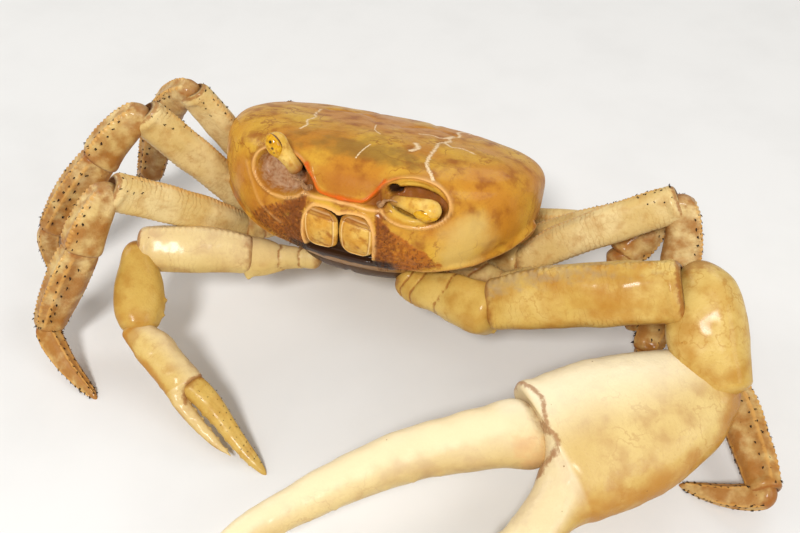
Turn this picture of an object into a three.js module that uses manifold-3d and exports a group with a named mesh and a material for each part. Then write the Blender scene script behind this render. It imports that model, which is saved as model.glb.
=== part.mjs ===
// Blue land crab, a large old male with one great claw, as a still life-size model.
// Millimetres. +Z is up, the crab's front faces -Y and its left side is +X.
// Every shell plate is one closed mesh: carapace, thorax, abdomen, two mouth plates, two
// eyestalks, two eyes, and ten limbs of five segments each.
import * as THREE from "three";
import { mergeVertices } from "three/addons/utils/BufferGeometryUtils.js";
import Module from "manifold-3d";

const wasm = await Module();
wasm.setup();

// ---- Driving dimensions -------------------------------------------------------------------

const GAP = 0.3; // clearance between neighbouring plates
const WELD = 1e-4; // distance under which two vertices are one

// The body's own frame: origin in the middle of the carapace, x to the left, y to the back.
const BODY = {
  centre: [0, 0, 42],
  pitch: THREE.MathUtils.degToRad(25), // the front is raised by this much
  halfWidth: 55,
  halfLength: 43,
  crown: 23,
  keel: 23,
  backNarrowing: 0.2,
};

// Height of the carapace margin, and where it rises and falls between midline and flank.
const MARGIN = { front: 6.2, brow: 15.5, flank: 8, back: -8, lobe: 7, browAt: 21, browEnd: 24, outer: 36 };

// Bluntness of the shell's curves: 1 is an ellipse, less is squarer.
const BLUNT = {
  planFront: 0.85, planBack: 0.95,
  overSide: 0.5, overFront: 0.72, overBack: 0.8,
  underSide: 0.87, underFront: 0.6, underBack: 0.65,
};

const ORBIT = { x: 22, y: -43, z: 8.8, radii: [11.2, 7.5, 7.9] };
const CLEFT = { y: -44, z: 3.4, radii: [13, 3.6, 2.3] };

// Each eye is a long window on the outer side of its stalk's end. The left one is folded away.
const EYES = {
  left: { root: [14.6, -41.8, 10.2], tip: [29.6, -42.4, 7.4], look: [0.2, -0.7, 0.7] },
  right: { root: [-14.9, -42.2, 10.6], tip: [-24.4, -45.4, 21.4], look: [-0.6, -0.75, -0.3] },
};
const STALK = [2.4, 2.2, 2.5, 3.1, 3.2];
const STALK_DOMES = [0.14, 0.24];
const EYE = {
  length: 8.6, back: -0.2, out: 1.7,
  shape: { high: [1.6, 2.2, 2.2, 1.6], wide: [2.2, 2.8, 2.8, 2.2], domes: [0.5, 0.5], square: 1, rings: 6,
    sides: 10 },
};

// The mouth plates, drawn for the left one, and the chest plate between the legs.
const MOUTH = {
  top: [6.2, -42.6, 1.4], bottom: [5.9, -38.4, -12.2], outward: [0, -1, -0.3],
  shape: { high: [2.4, 2.6, 2.6, 2.4, 2.2], wide: [5, 5.5, 5.6, 5.4, 4.6], lift: [0, 0.6, 0.8, 0.5, 0],
    domes: [0.12, 0.14], square: 0.6, rings: 7 },
};
const THORAX = {
  front: [0, -31, -16.5], back: [0, 35, -16.5],
  shape: { high: [8, 9.4, 9.6, 9.6, 8], wide: [15, 25, 28, 27, 17], domes: [0.2, 0.2], square: 0.7,
    rings: 8, sides: 12 },
};

const ABDOMEN = {
  spine: [[0, 42.5, -8.5], [0, 39, -17.5], [0, 28.5, -24.4], [0, 11, -26.9], [0, -10, -26.6]],
  halfWidths: [15, 14.5, 12, 8.5, 5.5, 3],
  halfThickness: 1.7,
  domes: [0.06, 0.08],
  flatness: { across: 0.7, through: 0.8 },
};

// Joints of each walking leg: coxa, ischium end, knee, carpus end, ankle and tip.
const WALKING_LEGS = {
  leg2_right: [[-26, -9, 27], [-44, -24, 30], [-72, -54, 62], [-80, -65, 43], [-94, -76, 13], [-69, -89, 0]],
  leg3_right: [[-27, -1, 23], [-46, -12, 28], [-73, -28, 74], [-87, -38, 58], [-106, -49, 31], [-108, -49, 0]],
  leg4_right: [[-26, 8, 19], [-44, 3, 23], [-67, -7, 71], [-84, -1, 54], [-97, -1, 22], [-111, 15, 0]],
  leg5_right: [[-21, 17, 17], [-33, 25, 19], [-68, 32, 26], [-74, 47, 17], [-78, 67, 6], [-80, 92, 0]],
  leg2_left: [[25, -11, 27], [48, -16, 25], [105, -12, 36], [126, -24, 15], [142, -57, 9], [118, -56, 0]],
  leg3_left: [[27, 0, 23], [52, -4, 27], [98, 12, 54], [103, 5, 34], [99, -13, 8], [104, -41, 0]],
  leg4_left: [[26, 8, 19], [48, 8, 22], [93, 21, 41], [84, 9, 28], [93, 2, 5], [115, 6, 0]],
  leg5_left: [[21, 17, 17], [33, 25, 19], [76, 31, 24], [86, 38, 15], [92, 60, 5], [99, 86, 0]],
};
const LEG_GIRTH = { leg2: 1.02, leg3: 1, leg4: 0.95, leg5: 0.78 };

// ---- Small tools --------------------------------------------------------------------------

const TAU = 2 * Math.PI;
const vec = (xyz) => new THREE.Vector3(...xyz);
const signedPower = (x, p) => Math.sign(x) * Math.abs(x) ** p;
const clamp01 = (x) => Math.min(1, Math.max(0, x));
const smooth = (x) => clamp01(x) ** 2 * (3 - 2 * clamp01(x));
const mix = (a, b, t) => a + (b - a) * t;
const mirrored = ([x, y, z], side) => [side === "left" ? x : -x, y, z];

// A value that runs smoothly through evenly spaced stations.
function along(stations, t) {
  const place = clamp01(t) * (stations.length - 1);
  const i = Math.min(Math.floor(place), stations.length - 2);
  const at = (k) => stations[Math.min(Math.max(k, 0), stations.length - 1)];
  const [p0, p1, p2, p3] = [at(i - 1), at(i), at(i + 1), at(i + 2)];
  const u = place - i;
  const [slope1, slope2] = [(p2 - p0) / 2, (p3 - p1) / 2];
  const rise = p2 - p1;
  return p1 + u * (slope1 + u * (3 * rise - 2 * slope1 - slope2 + u * (slope1 + slope2 - 2 * rise)));
}

// Roundness of a blunt end: 0 at the tip, 1 from the given length inwards.
const dome = (distance, length) => Math.sqrt(1 - (1 - clamp01(distance / length)) ** 2);

function toSolid(geometry) {
  const bare = new THREE.BufferGeometry();
  bare.setAttribute("position", geometry.getAttribute("position"));
  bare.setIndex(geometry.index);
  const welded = mergeVertices(bare, WELD);
  const mesh = new wasm.Mesh({
    numProp: 3,
    vertProperties: welded.attributes.position.array,
    triVerts: new Uint32Array(welded.index.array),
  });
  return new wasm.Manifold(mesh);
}

// A closed solid of rings: at(t, angle) gives a vertex, and the rings at t = 0 and 1 are points.
function ringSolid(rings, sides, at) {
  const geometry = new THREE.SphereGeometry(1, sides, rings);
  const place = geometry.attributes.position;
  for (let i = 0; i < place.count; i++) {
    const t = Math.floor(i / (sides + 1)) / rings;
    const angle = (((i % (sides + 1)) % sides) / sides) * TAU;
    place.setXYZ(i, ...at(t, angle));
  }
  return toSolid(geometry);
}

const joined = (solids) => solids.reduce((all, solid) => all.add(solid));

// What is left of a solid after its cutters, without loose crumbs.
function without(solid, cutters) {
  const rest = cutters.reduce((left, cutter) => left.subtract(cutter), solid);
  return rest.decompose().reduce((best, bit) => (bit.volume() > best.volume() ? bit : best));
}

// ---- Body frame ---------------------------------------------------------------------------

const bodyTurn = new THREE.Matrix4().makeRotationX(-BODY.pitch).setPosition(...BODY.centre);
const fromBody = (xyz) => vec(xyz).applyMatrix4(bodyTurn);
const bodyWay = (xyz) => vec(xyz).transformDirection(bodyTurn);

// ---- Segments -----------------------------------------------------------------------------

const CROWDING = 0.8; // how far a segment's rings gather at its rounded ends

// A run of superellipse sections along an axis that may bow. high and wide are half sizes at
// even stations, lift bows the run towards up, square sets the section's corners and domes are
// the rounded ends as shares of the length. Returns the solid and a copy grown by the gap.
function segment({ from, to, up, high, wide, lift = [0, 0], domes = [0.1, 0.1], square = 0.85,
  rings = 5, sides = 8, girth = 1 }) {
  const [start, axis] = [vec(from), vec(to).sub(vec(from))];
  const length = axis.length();
  axis.normalize();
  const height = vec(up).addScaledVector(axis, -vec(up).dot(axis)).normalize();
  const width = new THREE.Vector3().crossVectors(axis, height);
  const build = (grow) => ringSolid(rings, sides, (t, angle) => {
    const s = 0.5 - 0.5 * signedPower(Math.cos(Math.PI * t), CROWDING);
    const end = dome(s, domes[0]) * dome(1 - s, domes[1]);
    const tall = (along(high, s) * girth + grow) * end * signedPower(Math.sin(angle), square);
    const broad = (along(wide, s) * girth + grow) * end * signedPower(Math.cos(angle), square);
    return start.clone()
      .addScaledVector(axis, mix(-grow, length + grow, s))
      .addScaledVector(height, along(lift, s) + tall)
      .addScaledVector(width, broad);
  });
  return { solid: build(0), grown: build(GAP) };
}

// A segment given in the body's own frame.
const bodySegment = ({ from, to, up, ...rest }) =>
  segment({ from: fromBody(from), to: fromBody(to), up: bodyWay(up), ...rest });

function ellipsoid(centre, radii, grow = 0, sides = 16) {
  return ringSolid(sides / 2, sides, (t, angle) => {
    const [ring, level] = [Math.sin(Math.PI * t), Math.cos(Math.PI * t)];
    return fromBody([
      centre[0] + (radii[0] + grow) * ring * Math.cos(angle),
      centre[1] + (radii[1] + grow) * ring * Math.sin(angle),
      centre[2] + (radii[2] + grow) * level,
    ]);
  });
}

// ---- Carapace -----------------------------------------------------------------------------

function browHeight(x) {
  const fromMiddle = Math.abs(x);
  const risen = smooth((fromMiddle - MARGIN.lobe) / (MARGIN.browAt - MARGIN.lobe));
  const fallen = smooth((fromMiddle - MARGIN.browEnd) / (MARGIN.outer - MARGIN.browEnd));
  return mix(mix(MARGIN.front, MARGIN.brow, risen), MARGIN.flank, fallen);
}

// The widest line of the shell. Turn 0 is the left side and a quarter turn is the back.
function marginPoint(turn) {
  const lengthwise = Math.sin(turn);
  const blunt = lengthwise > 0 ? BLUNT.planBack : BLUNT.planFront;
  const y = signedPower(lengthwise, blunt);
  const narrow = 1 - BODY.backNarrowing * smooth(y);
  const x = BODY.halfWidth * signedPower(Math.cos(turn), blunt) * narrow;
  const z = y > 0 ? mix(MARGIN.flank, MARGIN.back, smooth(y)) : browHeight(x);
  return [x, y * BODY.halfLength, z];
}

function shellPoint(t, turn) {
  const [x, y, rim] = marginPoint(turn);
  const z = y > 0 ? rim : MARGIN.flank;
  const latitude = Math.PI * (0.5 - t);
  const [level, rise] = [Math.cos(latitude), Math.sin(latitude)];
  const endways = Math.sin(turn) ** 2;
  const above = mix(BLUNT.overSide, y > 0 ? BLUNT.overBack : BLUNT.overFront, endways);
  const below = mix(BLUNT.underSide, y > 0 ? BLUNT.underBack : BLUNT.underFront, endways);
  const blunt = rise > 0 ? above : below;
  const spread = Math.abs(level) ** blunt;
  const reach = rise > 0 ? BODY.crown - z : BODY.keel + z;
  const climb = signedPower(rise, blunt);
  const brow = (rim - z) * (1 - Math.abs(climb)) ** 2;
  return fromBody([x * spread, y * spread, z + reach * climb + brow]);
}

function carapace(cutters) {
  const orbits = [1, -1].map((side) =>
    ellipsoid([side * ORBIT.x, ORBIT.y, ORBIT.z], ORBIT.radii));
  const cleft = ellipsoid([0, CLEFT.y, CLEFT.z], CLEFT.radii);
  return without(ringSolid(16, 28, shellPoint), [...orbits, cleft, ...cutters]);
}

// ---- Underside and face -------------------------------------------------------------------

const thoraxSegment = () =>
  bodySegment({ from: THORAX.front, to: THORAX.back, up: [0, 0, 1], ...THORAX.shape });

// The narrow tail plate of a male, folded under the body from the carapace's back edge.
function abdomenSegment() {
  const spine = new THREE.CatmullRomCurve3(ABDOMEN.spine.map(vec));
  const build = (grow) => ringSolid(10, 8, (t, angle) => {
    const s = 0.5 - 0.5 * Math.cos(Math.PI * t);
    const [place, way] = [spine.getPoint(s), spine.getTangent(s)];
    const outward = new THREE.Vector3(0, way.z, -way.y);
    const end = dome(s, ABDOMEN.domes[0]) * dome(1 - s, ABDOMEN.domes[1]);
    const [across, through] = [Math.cos(angle), Math.sin(angle)];
    const broad = (along(ABDOMEN.halfWidths, s) + grow) * end * signedPower(across, ABDOMEN.flatness.across);
    const deep = (ABDOMEN.halfThickness + grow) * end * signedPower(through, ABDOMEN.flatness.through);
    place.addScaledVector(outward, deep).addScaledVector(way, mix(-grow, grow, s));
    return fromBody([place.x - broad, place.y, place.z]);
  });
  return { solid: build(0), grown: build(GAP) };
}

const mouthSegment = (side) =>
  bodySegment({ from: mirrored(MOUTH.top, side), to: mirrored(MOUTH.bottom, side), up: MOUTH.outward,
    ...MOUTH.shape });

function eyeParts(side) {
  const { root, tip, look } = EYES[side];
  const way = vec(tip).sub(vec(root)).normalize();
  const out = vec(look).addScaledVector(way, -vec(look).dot(way)).normalize();
  const place = (back) => vec(tip).addScaledVector(way, -back).addScaledVector(out, EYE.out).toArray();
  const stalk = bodySegment({ from: root, to: tip, up: look, high: STALK, wide: STALK, domes: STALK_DOMES });
  const eye = bodySegment({ from: place(EYE.back + EYE.length), to: place(EYE.back), up: look, ...EYE.shape });
  return { stalk: without(stalk.solid, [eye.grown]), eye: eye.solid, grown: [stalk.grown, eye.grown] };
}

// ---- Walking legs -------------------------------------------------------------------------

const SEGMENTS = ["base", "merus", "carpus", "propodus", "dactyl"];
const LEG_SHAPES = {
  base: { high: [6, 5.6, 4.6, 5, 4.6], wide: [5.4, 5, 4, 4.3, 3.8], domes: [0.12, 0.12], rings: 4 },
  merus: { nesting: 3, high: [4.2, 5.6, 6.1, 6.3, 6.1], wide: [3.4, 4.3, 4.5, 4.3, 4.1],
    lift: [0, 0.8, 1, 0.6, 0], domes: [0.06, 0.06], square: 0.8 },
  carpus: { nesting: 2.5, high: [3.6, 5.2, 6.2, 6.4], wide: [3.2, 4.5, 4.9, 4.6], lift: [0, 1, 1, 0],
    domes: [0.16, 0.1] },
  propodus: { nesting: 3.5, high: [5.4, 6.2, 5.7, 4.8], wide: [4, 4.4, 4, 3.4], lift: [0, 0.4, 0.4, 0] },
  dactyl: { nesting: 3, high: [3.9, 3.7, 3, 2.1, 0.9], wide: [3.2, 3, 2.4, 1.7, 0.8],
    lift: [0, 1.6, 2.1, 1.5, 0.6], domes: [0.1, 0.06] },
};

// Each plate reaches a little way back into the socket of the plate before it.
function legSegments(joints, girth) {
  const [, ischium, knee, , ankle] = joints.map(vec);
  const bend = knee.clone().sub(ischium).cross(ankle.clone().sub(knee)).normalize();
  return SEGMENTS.map((name, i) => {
    const { nesting = 0, ...shape } = LEG_SHAPES[name];
    const axis = vec(joints[i + 1]).sub(vec(joints[i])).normalize();
    const from = vec(joints[i]).addScaledVector(axis, -nesting);
    const up = new THREE.Vector3().crossVectors(axis, bend);
    return segment({ from, to: joints[i + 1], up, girth, ...shape });
  });
}

// ---- Claw legs ----------------------------------------------------------------------------

// Height and sunk depth in tooth radii, and how the radius falls from the row's root to its end.
const TOOTH = { sides: 5, height: 2, sunk: 0.2, largest: 1.15, falling: 0.6 };

// Points of the palm and fingers are [reach along the palm, rise towards the moving finger].
const CLAWS = {
  claw_left: {
    hand: 1, wrist: [122, -41, 27], palmEnd: [73, -71, 24], face: [0.116, -0.287, 0.951],
    base: { from: [15, -27, 27], to: [51, -35, 31], up: [-0.3, 0.6, 0.7], high: [7, 7.5, 7.5, 9, 9],
      wide: [7, 7, 7, 8, 8], domes: [0.1, 0.08], rings: 6, sides: 10 },
    merus: { from: [48, -35, 31], to: [105, -25, 51], up: [-0.35, 0.65, 0.67],
      high: [8, 9.6, 10, 10, 9.8], wide: [7, 8.5, 9, 8.8, 8], lift: [2, 2.6, 2, 1, 0], domes: [0.06, 0.05],
      square: 0.75, sides: 10, rings: 8 },
    carpus: { from: [107, -16, 56], to: [123, -43, 29], up: [0.91, 0.23, 0.33],
      high: [6, 9.6, 11.8, 10.6, 7.4], wide: [6, 9, 10.4, 10, 8], lift: [-0.6, -0.4, -1.2, -1, 0],
      domes: [0.2, 0.12], sides: 10, rings: 10 },
    palm: { from: [-4, -0.5], to: [60, -6.5], high: [7, 14.2, 19, 21.4, 22, 20.6],
      wide: [7, 11, 13, 13, 11.5, 9], lift: [0, 0.6, 0, 0, 0, 0], domes: [0.1, 0.08], square: 0.8,
      rings: 11, sides: 12 },
    pollex: { from: [46, -14], to: [130, -66], high: [12.5, 7.8, 7, 5.8, 4, 1.2],
      wide: [8, 7.4, 6.6, 5.4, 3.6, 1.2], lift: [0, -1, -2.4, -3, -2, 0], domes: [0.08, 0.04], rings: 9,
      sides: 10 },
    finger: { from: [53.5, 2.5], to: [164, -27], high: [9.4, 9.8, 7.9, 6.8, 5.3, 4, 1.2],
      wide: [7.5, 8, 7, 6.2, 5, 3.6, 1.2], lift: [0, 4, 8.7, 10.5, 10.6, 9.1, 0], domes: [0.06, 0.04],
      rings: 11, sides: 10 },
    pollexTeeth: { span: [0.26, 0.86], bite: 1, count: 7, radius: 1.5 },
    fingerTeeth: { span: [0.2, 0.82], bite: -1, count: 8, radius: 1.4 },
  },
  claw_right: {
    hand: -1, wrist: [-58, -75, 23], palmEnd: [-36, -83, 14], face: [0.216, -0.42, 0.881],
    base: { from: [-13, -26, 27], to: [-36, -37, 30], up: [-0.2, 0.65, 0.72], high: [5.5, 5, 5, 6, 6],
      wide: [5.5, 5, 5, 5.5, 5.5], domes: [0.12, 0.1], rings: 4 },
    merus: { from: [-33, -36, 30], to: [-69, -51, 35], up: [-0.185, 0.669, 0.72],
      high: [6, 7.2, 7.8, 7.6, 7.4], wide: [5.5, 6.2, 6.5, 6.4, 6], lift: [0.5, 1.2, 1.6, 1, 0],
      domes: [0.08, 0.06], square: 0.75 },
    carpus: { from: [-70, -49.5, 37], to: [-56.4, -75.4, 22.4], up: [0.82, 0.56, -0.13],
      high: [4.2, 6, 7.7, 7.8, 5], wide: [4.4, 5.8, 6.4, 6, 4.8], domes: [0.16, 0.1], rings: 8 },
    palm: { from: [-3, -0.3], to: [27.5, 0.2], high: [3.4, 5, 6.3, 6.2, 5.9, 5.4],
      wide: [3.4, 4.6, 5.1, 5, 4.6, 4], lift: [0, 0.3, 0.6, -0.1, -0.2, 0], domes: [0.12, 0.1], rings: 8 },
    pollex: { from: [20, -3], to: [51.6, -5.4], high: [3.4, 2.6, 2.1, 1.5, 0.8],
      wide: [3, 2.6, 2.2, 1.6, 0.8], lift: [-0.5, -1.6, -1.8, -1.3, 0], domes: [0.1, 0.06] },
    finger: { from: [23.8, 0.4], to: [63.4, -1.8], high: [4.4, 3.6, 3, 2.8, 2.2, 0.9],
      wide: [3.4, 3, 2.6, 2.3, 1.8, 0.8], lift: [0, 0.3, 0.4, 0, -0.1, 0], domes: [0.08, 0.06], rings: 8 },
    pollexTeeth: { span: [0.3, 0.85], bite: 1, count: 6, radius: 0.7 },
    fingerTeeth: { span: [0.3, 0.85], bite: -1, count: 6, radius: 0.6 },
  },
};

// The plane that a claw's palm and fingers lie in.
function clawPlane({ hand, wrist, palmEnd, face }) {
  const origin = vec(wrist);
  const reach = vec(palmEnd).sub(origin).normalize();
  const outward = vec(face).addScaledVector(reach, -vec(face).dot(reach)).normalize();
  const rise = new THREE.Vector3().crossVectors(reach, outward).multiplyScalar(hand);
  const at = ([s, h]) => origin.clone().addScaledVector(reach, s).addScaledVector(rise, h);
  return { at, rise };
}

// A row of blunt teeth along a finger's biting edge, largest near the finger's root.
function toothRow(plane, finger, { span, bite, count, radius }) {
  const way = plane.rise.clone().multiplyScalar(bite);
  const turn = new THREE.Quaternion().setFromUnitVectors(vec([0, 1, 0]), way);
  return Array.from({ length: count }, (_, i) => {
    const t = mix(...span, i / (count - 1));
    const size = radius * (TOOTH.largest - TOOTH.falling * t);
    const edge = along(finger.lift, t) + bite * (along(finger.high, t) + TOOTH.sunk * size);
    const [s, h] = [0, 1].map((k) => mix(finger.from[k], finger.to[k], t));
    const tooth = new THREE.ConeGeometry(size, size * TOOTH.height, TOOTH.sides);
    tooth.applyQuaternion(turn).translate(...plane.at([s, h + edge]));
    return toSolid(tooth);
  });
}

function clawSegments(claw) {
  const plane = clawPlane(claw);
  const inPlane = ({ from, to, ...shape }) =>
    segment({ from: plane.at(from), to: plane.at(to), up: plane.rise, ...shape });
  const [base, merus, carpus] = [claw.base, claw.merus, claw.carpus].map(segment);
  const [palm, pollex, finger] = [claw.palm, claw.pollex, claw.finger].map(inPlane);
  const hand = {
    solid: joined([palm.solid, pollex.solid, ...toothRow(plane, claw.pollex, claw.pollexTeeth)]),
    grown: palm.grown,
  };
  const mover = {
    solid: joined([finger.solid, ...toothRow(plane, claw.finger, claw.fingerTeeth)]),
    grown: finger.grown,
  };
  return { base, merus, carpus, palm: hand, finger: mover };
}

// ---- Assembly -----------------------------------------------------------------------------

const FINISHES = {
  shell: { color: 0xc08a3a, roughness: 0.32, metalness: 0 },
  leg: { color: 0xd6b06a, roughness: 0.42, metalness: 0 },
  claw: { color: 0xe6cf8e, roughness: 0.3, metalness: 0 },
  under: { color: 0xd9c59a, roughness: 0.45, metalness: 0 },
  eye: { color: 0xb98a2c, roughness: 0.12, metalness: 0 },
};
const FLOOR = { size: 600, depth: 20 };

const crab = new THREE.Group();
const floorBlock = toSolid(
  new THREE.BoxGeometry(FLOOR.size, FLOOR.size, FLOOR.depth).translate(0, 0, -FLOOR.depth / 2));

// Adds a mesh, with whatever would sink below the floor planed off to a small flat.
function addMesh(name, solid, finish) {
  const { vertProperties, triVerts } = without(solid, [floorBlock]).getMesh();
  const geometry = new THREE.BufferGeometry();
  geometry.setAttribute("position", new THREE.BufferAttribute(vertProperties, 3));
  geometry.setIndex(new THREE.BufferAttribute(triVerts, 1));
  geometry.computeVertexNormals();
  const mesh = new THREE.Mesh(geometry, new THREE.MeshStandardMaterial(FINISHES[finish]));
  mesh.name = name;
  crab.add(mesh);
}

// Each plate of a limb is cut by the socket that the next one needs, and its first two plates
// by the limb in front. Returns the room that those two plates take up.
function addLimb(limb, parts, finish, inFront) {
  const names = Object.keys(parts);
  names.forEach((name, i) => {
    const cutters = i + 1 < names.length ? [parts[names[i + 1]].grown] : [];
    if (i < 2) cutters.push(...inFront);
    addMesh(`${limb}_${name}`, without(parts[name].solid, cutters), finish);
  });
  return names.slice(0, 2).map((name) => parts[name].grown);
}

const roots = [];
for (const side of ["left", "right"]) {
  let inFront = addLimb(`claw_${side}`, clawSegments(CLAWS[`claw_${side}`]), "claw", []);
  roots.push(...inFront);
  for (const pair of Object.keys(LEG_GIRTH)) {
    const plates = legSegments(WALKING_LEGS[`${pair}_${side}`], LEG_GIRTH[pair]);
    const parts = Object.fromEntries(plates.map((plate, i) => [SEGMENTS[i], plate]));
    inFront = addLimb(`${pair}_${side}`, parts, "leg", inFront);
    roots.push(...inFront);
  }
}

const thorax = thoraxSegment();
const abdomen = abdomenSegment();
const face = [];
for (const side of ["left", "right"]) {
  const mouth = mouthSegment(side);
  const eye = eyeParts(side);
  addMesh(`mouth_${side}`, mouth.solid, "under");
  addMesh(`eyestalk_${side}`, eye.stalk, "shell");
  addMesh(`eye_${side}`, eye.eye, "eye");
  face.push(mouth.grown, ...eye.grown);
}
addMesh("carapace", carapace([thorax.grown, abdomen.grown, ...roots, ...face]), "shell");
addMesh("thorax", without(thorax.solid, [abdomen.grown, ...roots, ...face]), "under");
addMesh("abdomen", abdomen.solid, "under");

// The part's origin is on the floor, in the middle of the whole crab.
const middle = new THREE.Box3().setFromObject(crab).getCenter(new THREE.Vector3());
crab.position.set(-middle.x, -middle.y, 0);
const group = new THREE.Group();
group.add(crab);

export default group;
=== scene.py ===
import logging
import math
from dataclasses import dataclass, field, replace
from enum import Enum

import bpy
import numpy as np
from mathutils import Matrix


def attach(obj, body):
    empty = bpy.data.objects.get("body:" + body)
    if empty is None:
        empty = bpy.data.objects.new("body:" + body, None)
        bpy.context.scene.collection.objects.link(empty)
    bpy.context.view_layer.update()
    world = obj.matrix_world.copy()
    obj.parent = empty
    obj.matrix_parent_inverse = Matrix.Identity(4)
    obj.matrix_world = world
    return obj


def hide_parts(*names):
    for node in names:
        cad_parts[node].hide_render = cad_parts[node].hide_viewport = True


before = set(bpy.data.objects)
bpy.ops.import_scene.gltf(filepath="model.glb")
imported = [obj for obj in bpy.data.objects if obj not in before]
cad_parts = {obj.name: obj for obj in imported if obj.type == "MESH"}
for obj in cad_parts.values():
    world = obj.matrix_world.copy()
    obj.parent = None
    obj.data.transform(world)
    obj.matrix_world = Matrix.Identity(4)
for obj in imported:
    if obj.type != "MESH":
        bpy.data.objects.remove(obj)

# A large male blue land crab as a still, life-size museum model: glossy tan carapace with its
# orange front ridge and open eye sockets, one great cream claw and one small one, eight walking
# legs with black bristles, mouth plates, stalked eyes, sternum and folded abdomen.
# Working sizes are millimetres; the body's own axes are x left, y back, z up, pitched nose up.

Array = np.ndarray
Material = bpy.types.Material
Socket = bpy.types.NodeSocket
Pair = tuple[float, float]
Triple = tuple[float, float, float]
Colour = tuple[float, float, float]
Stations = tuple[float, ...]
Path = tuple[Pair, ...]
Marks = dict[str, Array]

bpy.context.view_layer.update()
MM = 0.001
TAU = 2.0 * math.pi
MIDDLE = np.array([16.7057, -34.9199, 0.0])  # the whole crab's middle, from the carapace's
BODY_CENTRE = np.array([0.0, 0.0, 42.0])
BODY_PITCH = math.radians(25.0)
BODY_TURN = np.array([[1.0, 0.0, 0.0],
                      [0.0, math.cos(BODY_PITCH), math.sin(BODY_PITCH)],
                      [0.0, -math.sin(BODY_PITCH), math.cos(BODY_PITCH)]])

log = logging.getLogger("land_crab")


class Slot(Enum):
    """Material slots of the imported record."""

    CARAPACE = "carapace"
    CLAW = "claw"
    LEG = "leg"
    UNDERSIDE = "underside"
    STALK = "stalk"
    EYE = "eye"


class Side(Enum):
    """The crab's own left and right, with the sign of x on that side."""

    LEFT = 1
    RIGHT = -1

    @property
    def word(self) -> str:
        """Name of the side as the nodes spell it."""
        return self.name.lower()


# ---- Number tools


def signed_power(value: Array, power: float | Array) -> Array:
    """Power of the size with the sign kept: sign(v) times |v| to the power."""
    return np.sign(value) * np.abs(value) ** power


def smooth(value: Array) -> Array:
    """Soft step: 3v^2 - 2v^3 with v held between 0 and 1."""
    held = np.clip(value, 0.0, 1.0)
    return held * held * (3.0 - 2.0 * held)


def mix(low: Array | float, high: Array | float, share: Array | float) -> Array:
    """Straight blend: low + (high - low) * share."""
    return low + (high - low) * share


def bell(distance: Array, width: float) -> Array:
    """Rounded peak: e to the minus (distance / width) squared."""
    return np.exp(-((distance / width) ** 2))


def dome(distance: Array, length: float) -> Array:
    """Quarter circle that rises from 0 at the end to 1 at the given length."""
    return np.sqrt(np.clip(1.0 - (1.0 - np.clip(distance / length, 0.0, 1.0)) ** 2, 0.0, 1.0))


def unit(ways: Array) -> Array:
    """Directions divided by their own lengths."""
    return ways / np.linalg.norm(ways, axis=-1, keepdims=True)


def round_turn(steps: int) -> Array:
    """Even angles round a full turn, from 0."""
    return TAU * np.arange(steps) / steps


def gap_round(angle: Array, degrees: float) -> Array:
    """Angle in degrees between each direction, in radians, and one given in degrees."""
    return np.degrees(np.abs((angle - math.radians(degrees) + math.pi) % TAU - math.pi))


def circles(across: Array, rest: Array, steps: int) -> Array:
    """Unit circles spanned by pairs of directions, as (count, steps, 3)."""
    turn = round_turn(steps)[:, None]
    return np.cos(turn) * across[:, None] + np.sin(turn) * rest[:, None]


def along(stations: Stations | Array, share: Array) -> Array:
    """Cubic curve through evenly spaced stations, with slopes from their neighbours.

    Args:
        stations: Numbers, or points as rows, at even shares of the run.
        share: Where to read the curve, 0 at the first station and 1 at the last.

    Returns:
        The curve's value at each share.
    """
    fixed = np.asarray(stations, dtype=float)
    last = len(fixed) - 1
    place = np.clip(share, 0.0, 1.0) * last
    step = np.minimum(place.astype(int), last - 1)
    before, here, after, beyond = (fixed[np.clip(step + k, 0, last)] for k in (-1, 0, 1, 2))
    u = (place - step).reshape(place.shape + (1,) * (fixed.ndim - 1))
    leave, arrive, climb = (after - before) / 2.0, (beyond - here) / 2.0, after - here
    bend = leave + arrive - 2.0 * climb
    return here + u * (leave + u * (3.0 * climb - 2.0 * leave - arrive + u * bend))


def superellipse(angle: Array, blunt: Array | float) -> tuple[Array, Array]:
    """Corner-rounded ellipse read by true polar angle.

    The radius is (|cos|^(2/b) + |sin|^(2/b)) to the power -b/2, so steps of angle stay even
    however square the curve is.

    Args:
        angle: Polar angle in radians.
        blunt: 1 is a circle and less is squarer.

    Returns:
        The two coordinates on the unit curve.
    """
    across, up = np.cos(angle), np.sin(angle)
    radius = (np.abs(across) ** (2.0 / blunt) + np.abs(up) ** (2.0 / blunt)) ** (-blunt / 2.0)
    return across * radius, up * radius


def swelling(places: Array, size: float, seed: int, waves: int = 14) -> Array:
    """Soft hills: the mean of sine waves that run every way with lengths near the size.

    Args:
        places: Points in millimetres.
        size: Usual wave length in millimetres.
        seed: Picks the waves.
        waves: How many there are.

    Returns:
        Heights that mostly stay between -1 and 1.
    """
    draw = np.random.default_rng(seed)
    ways = unit(draw.normal(size=(waves, 3)))
    turns = TAU / (size * draw.uniform(0.6, 1.6, waves))
    starts = draw.uniform(0.0, TAU, waves)
    return np.sin(places @ (ways * turns[:, None]).T + starts).mean(-1) * 2.0


def nearness(flat: Array, path: Path, width: float) -> Array:
    """Peak that follows a drawn line: a bell of the distance to its nearest stretch.

    Args:
        flat: Points as (..., 2).
        path: Corners of the line; a smooth curve is drawn through them.
        width: Half width of the bell.

    Returns:
        1 on the line, falling to 0 beside it.
    """
    curve = along(np.asarray(path), np.linspace(0.0, 1.0, 6 * len(path)))
    heads, steps = curve[:-1], np.diff(curve, axis=0)
    reach = flat[..., None, :] - heads
    share = np.clip((reach * steps).sum(-1) / (steps * steps).sum(-1), 0.0, 1.0)
    gap = np.linalg.norm(reach - share[..., None] * steps, axis=-1).min(-1)
    return bell(gap, width)


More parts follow.
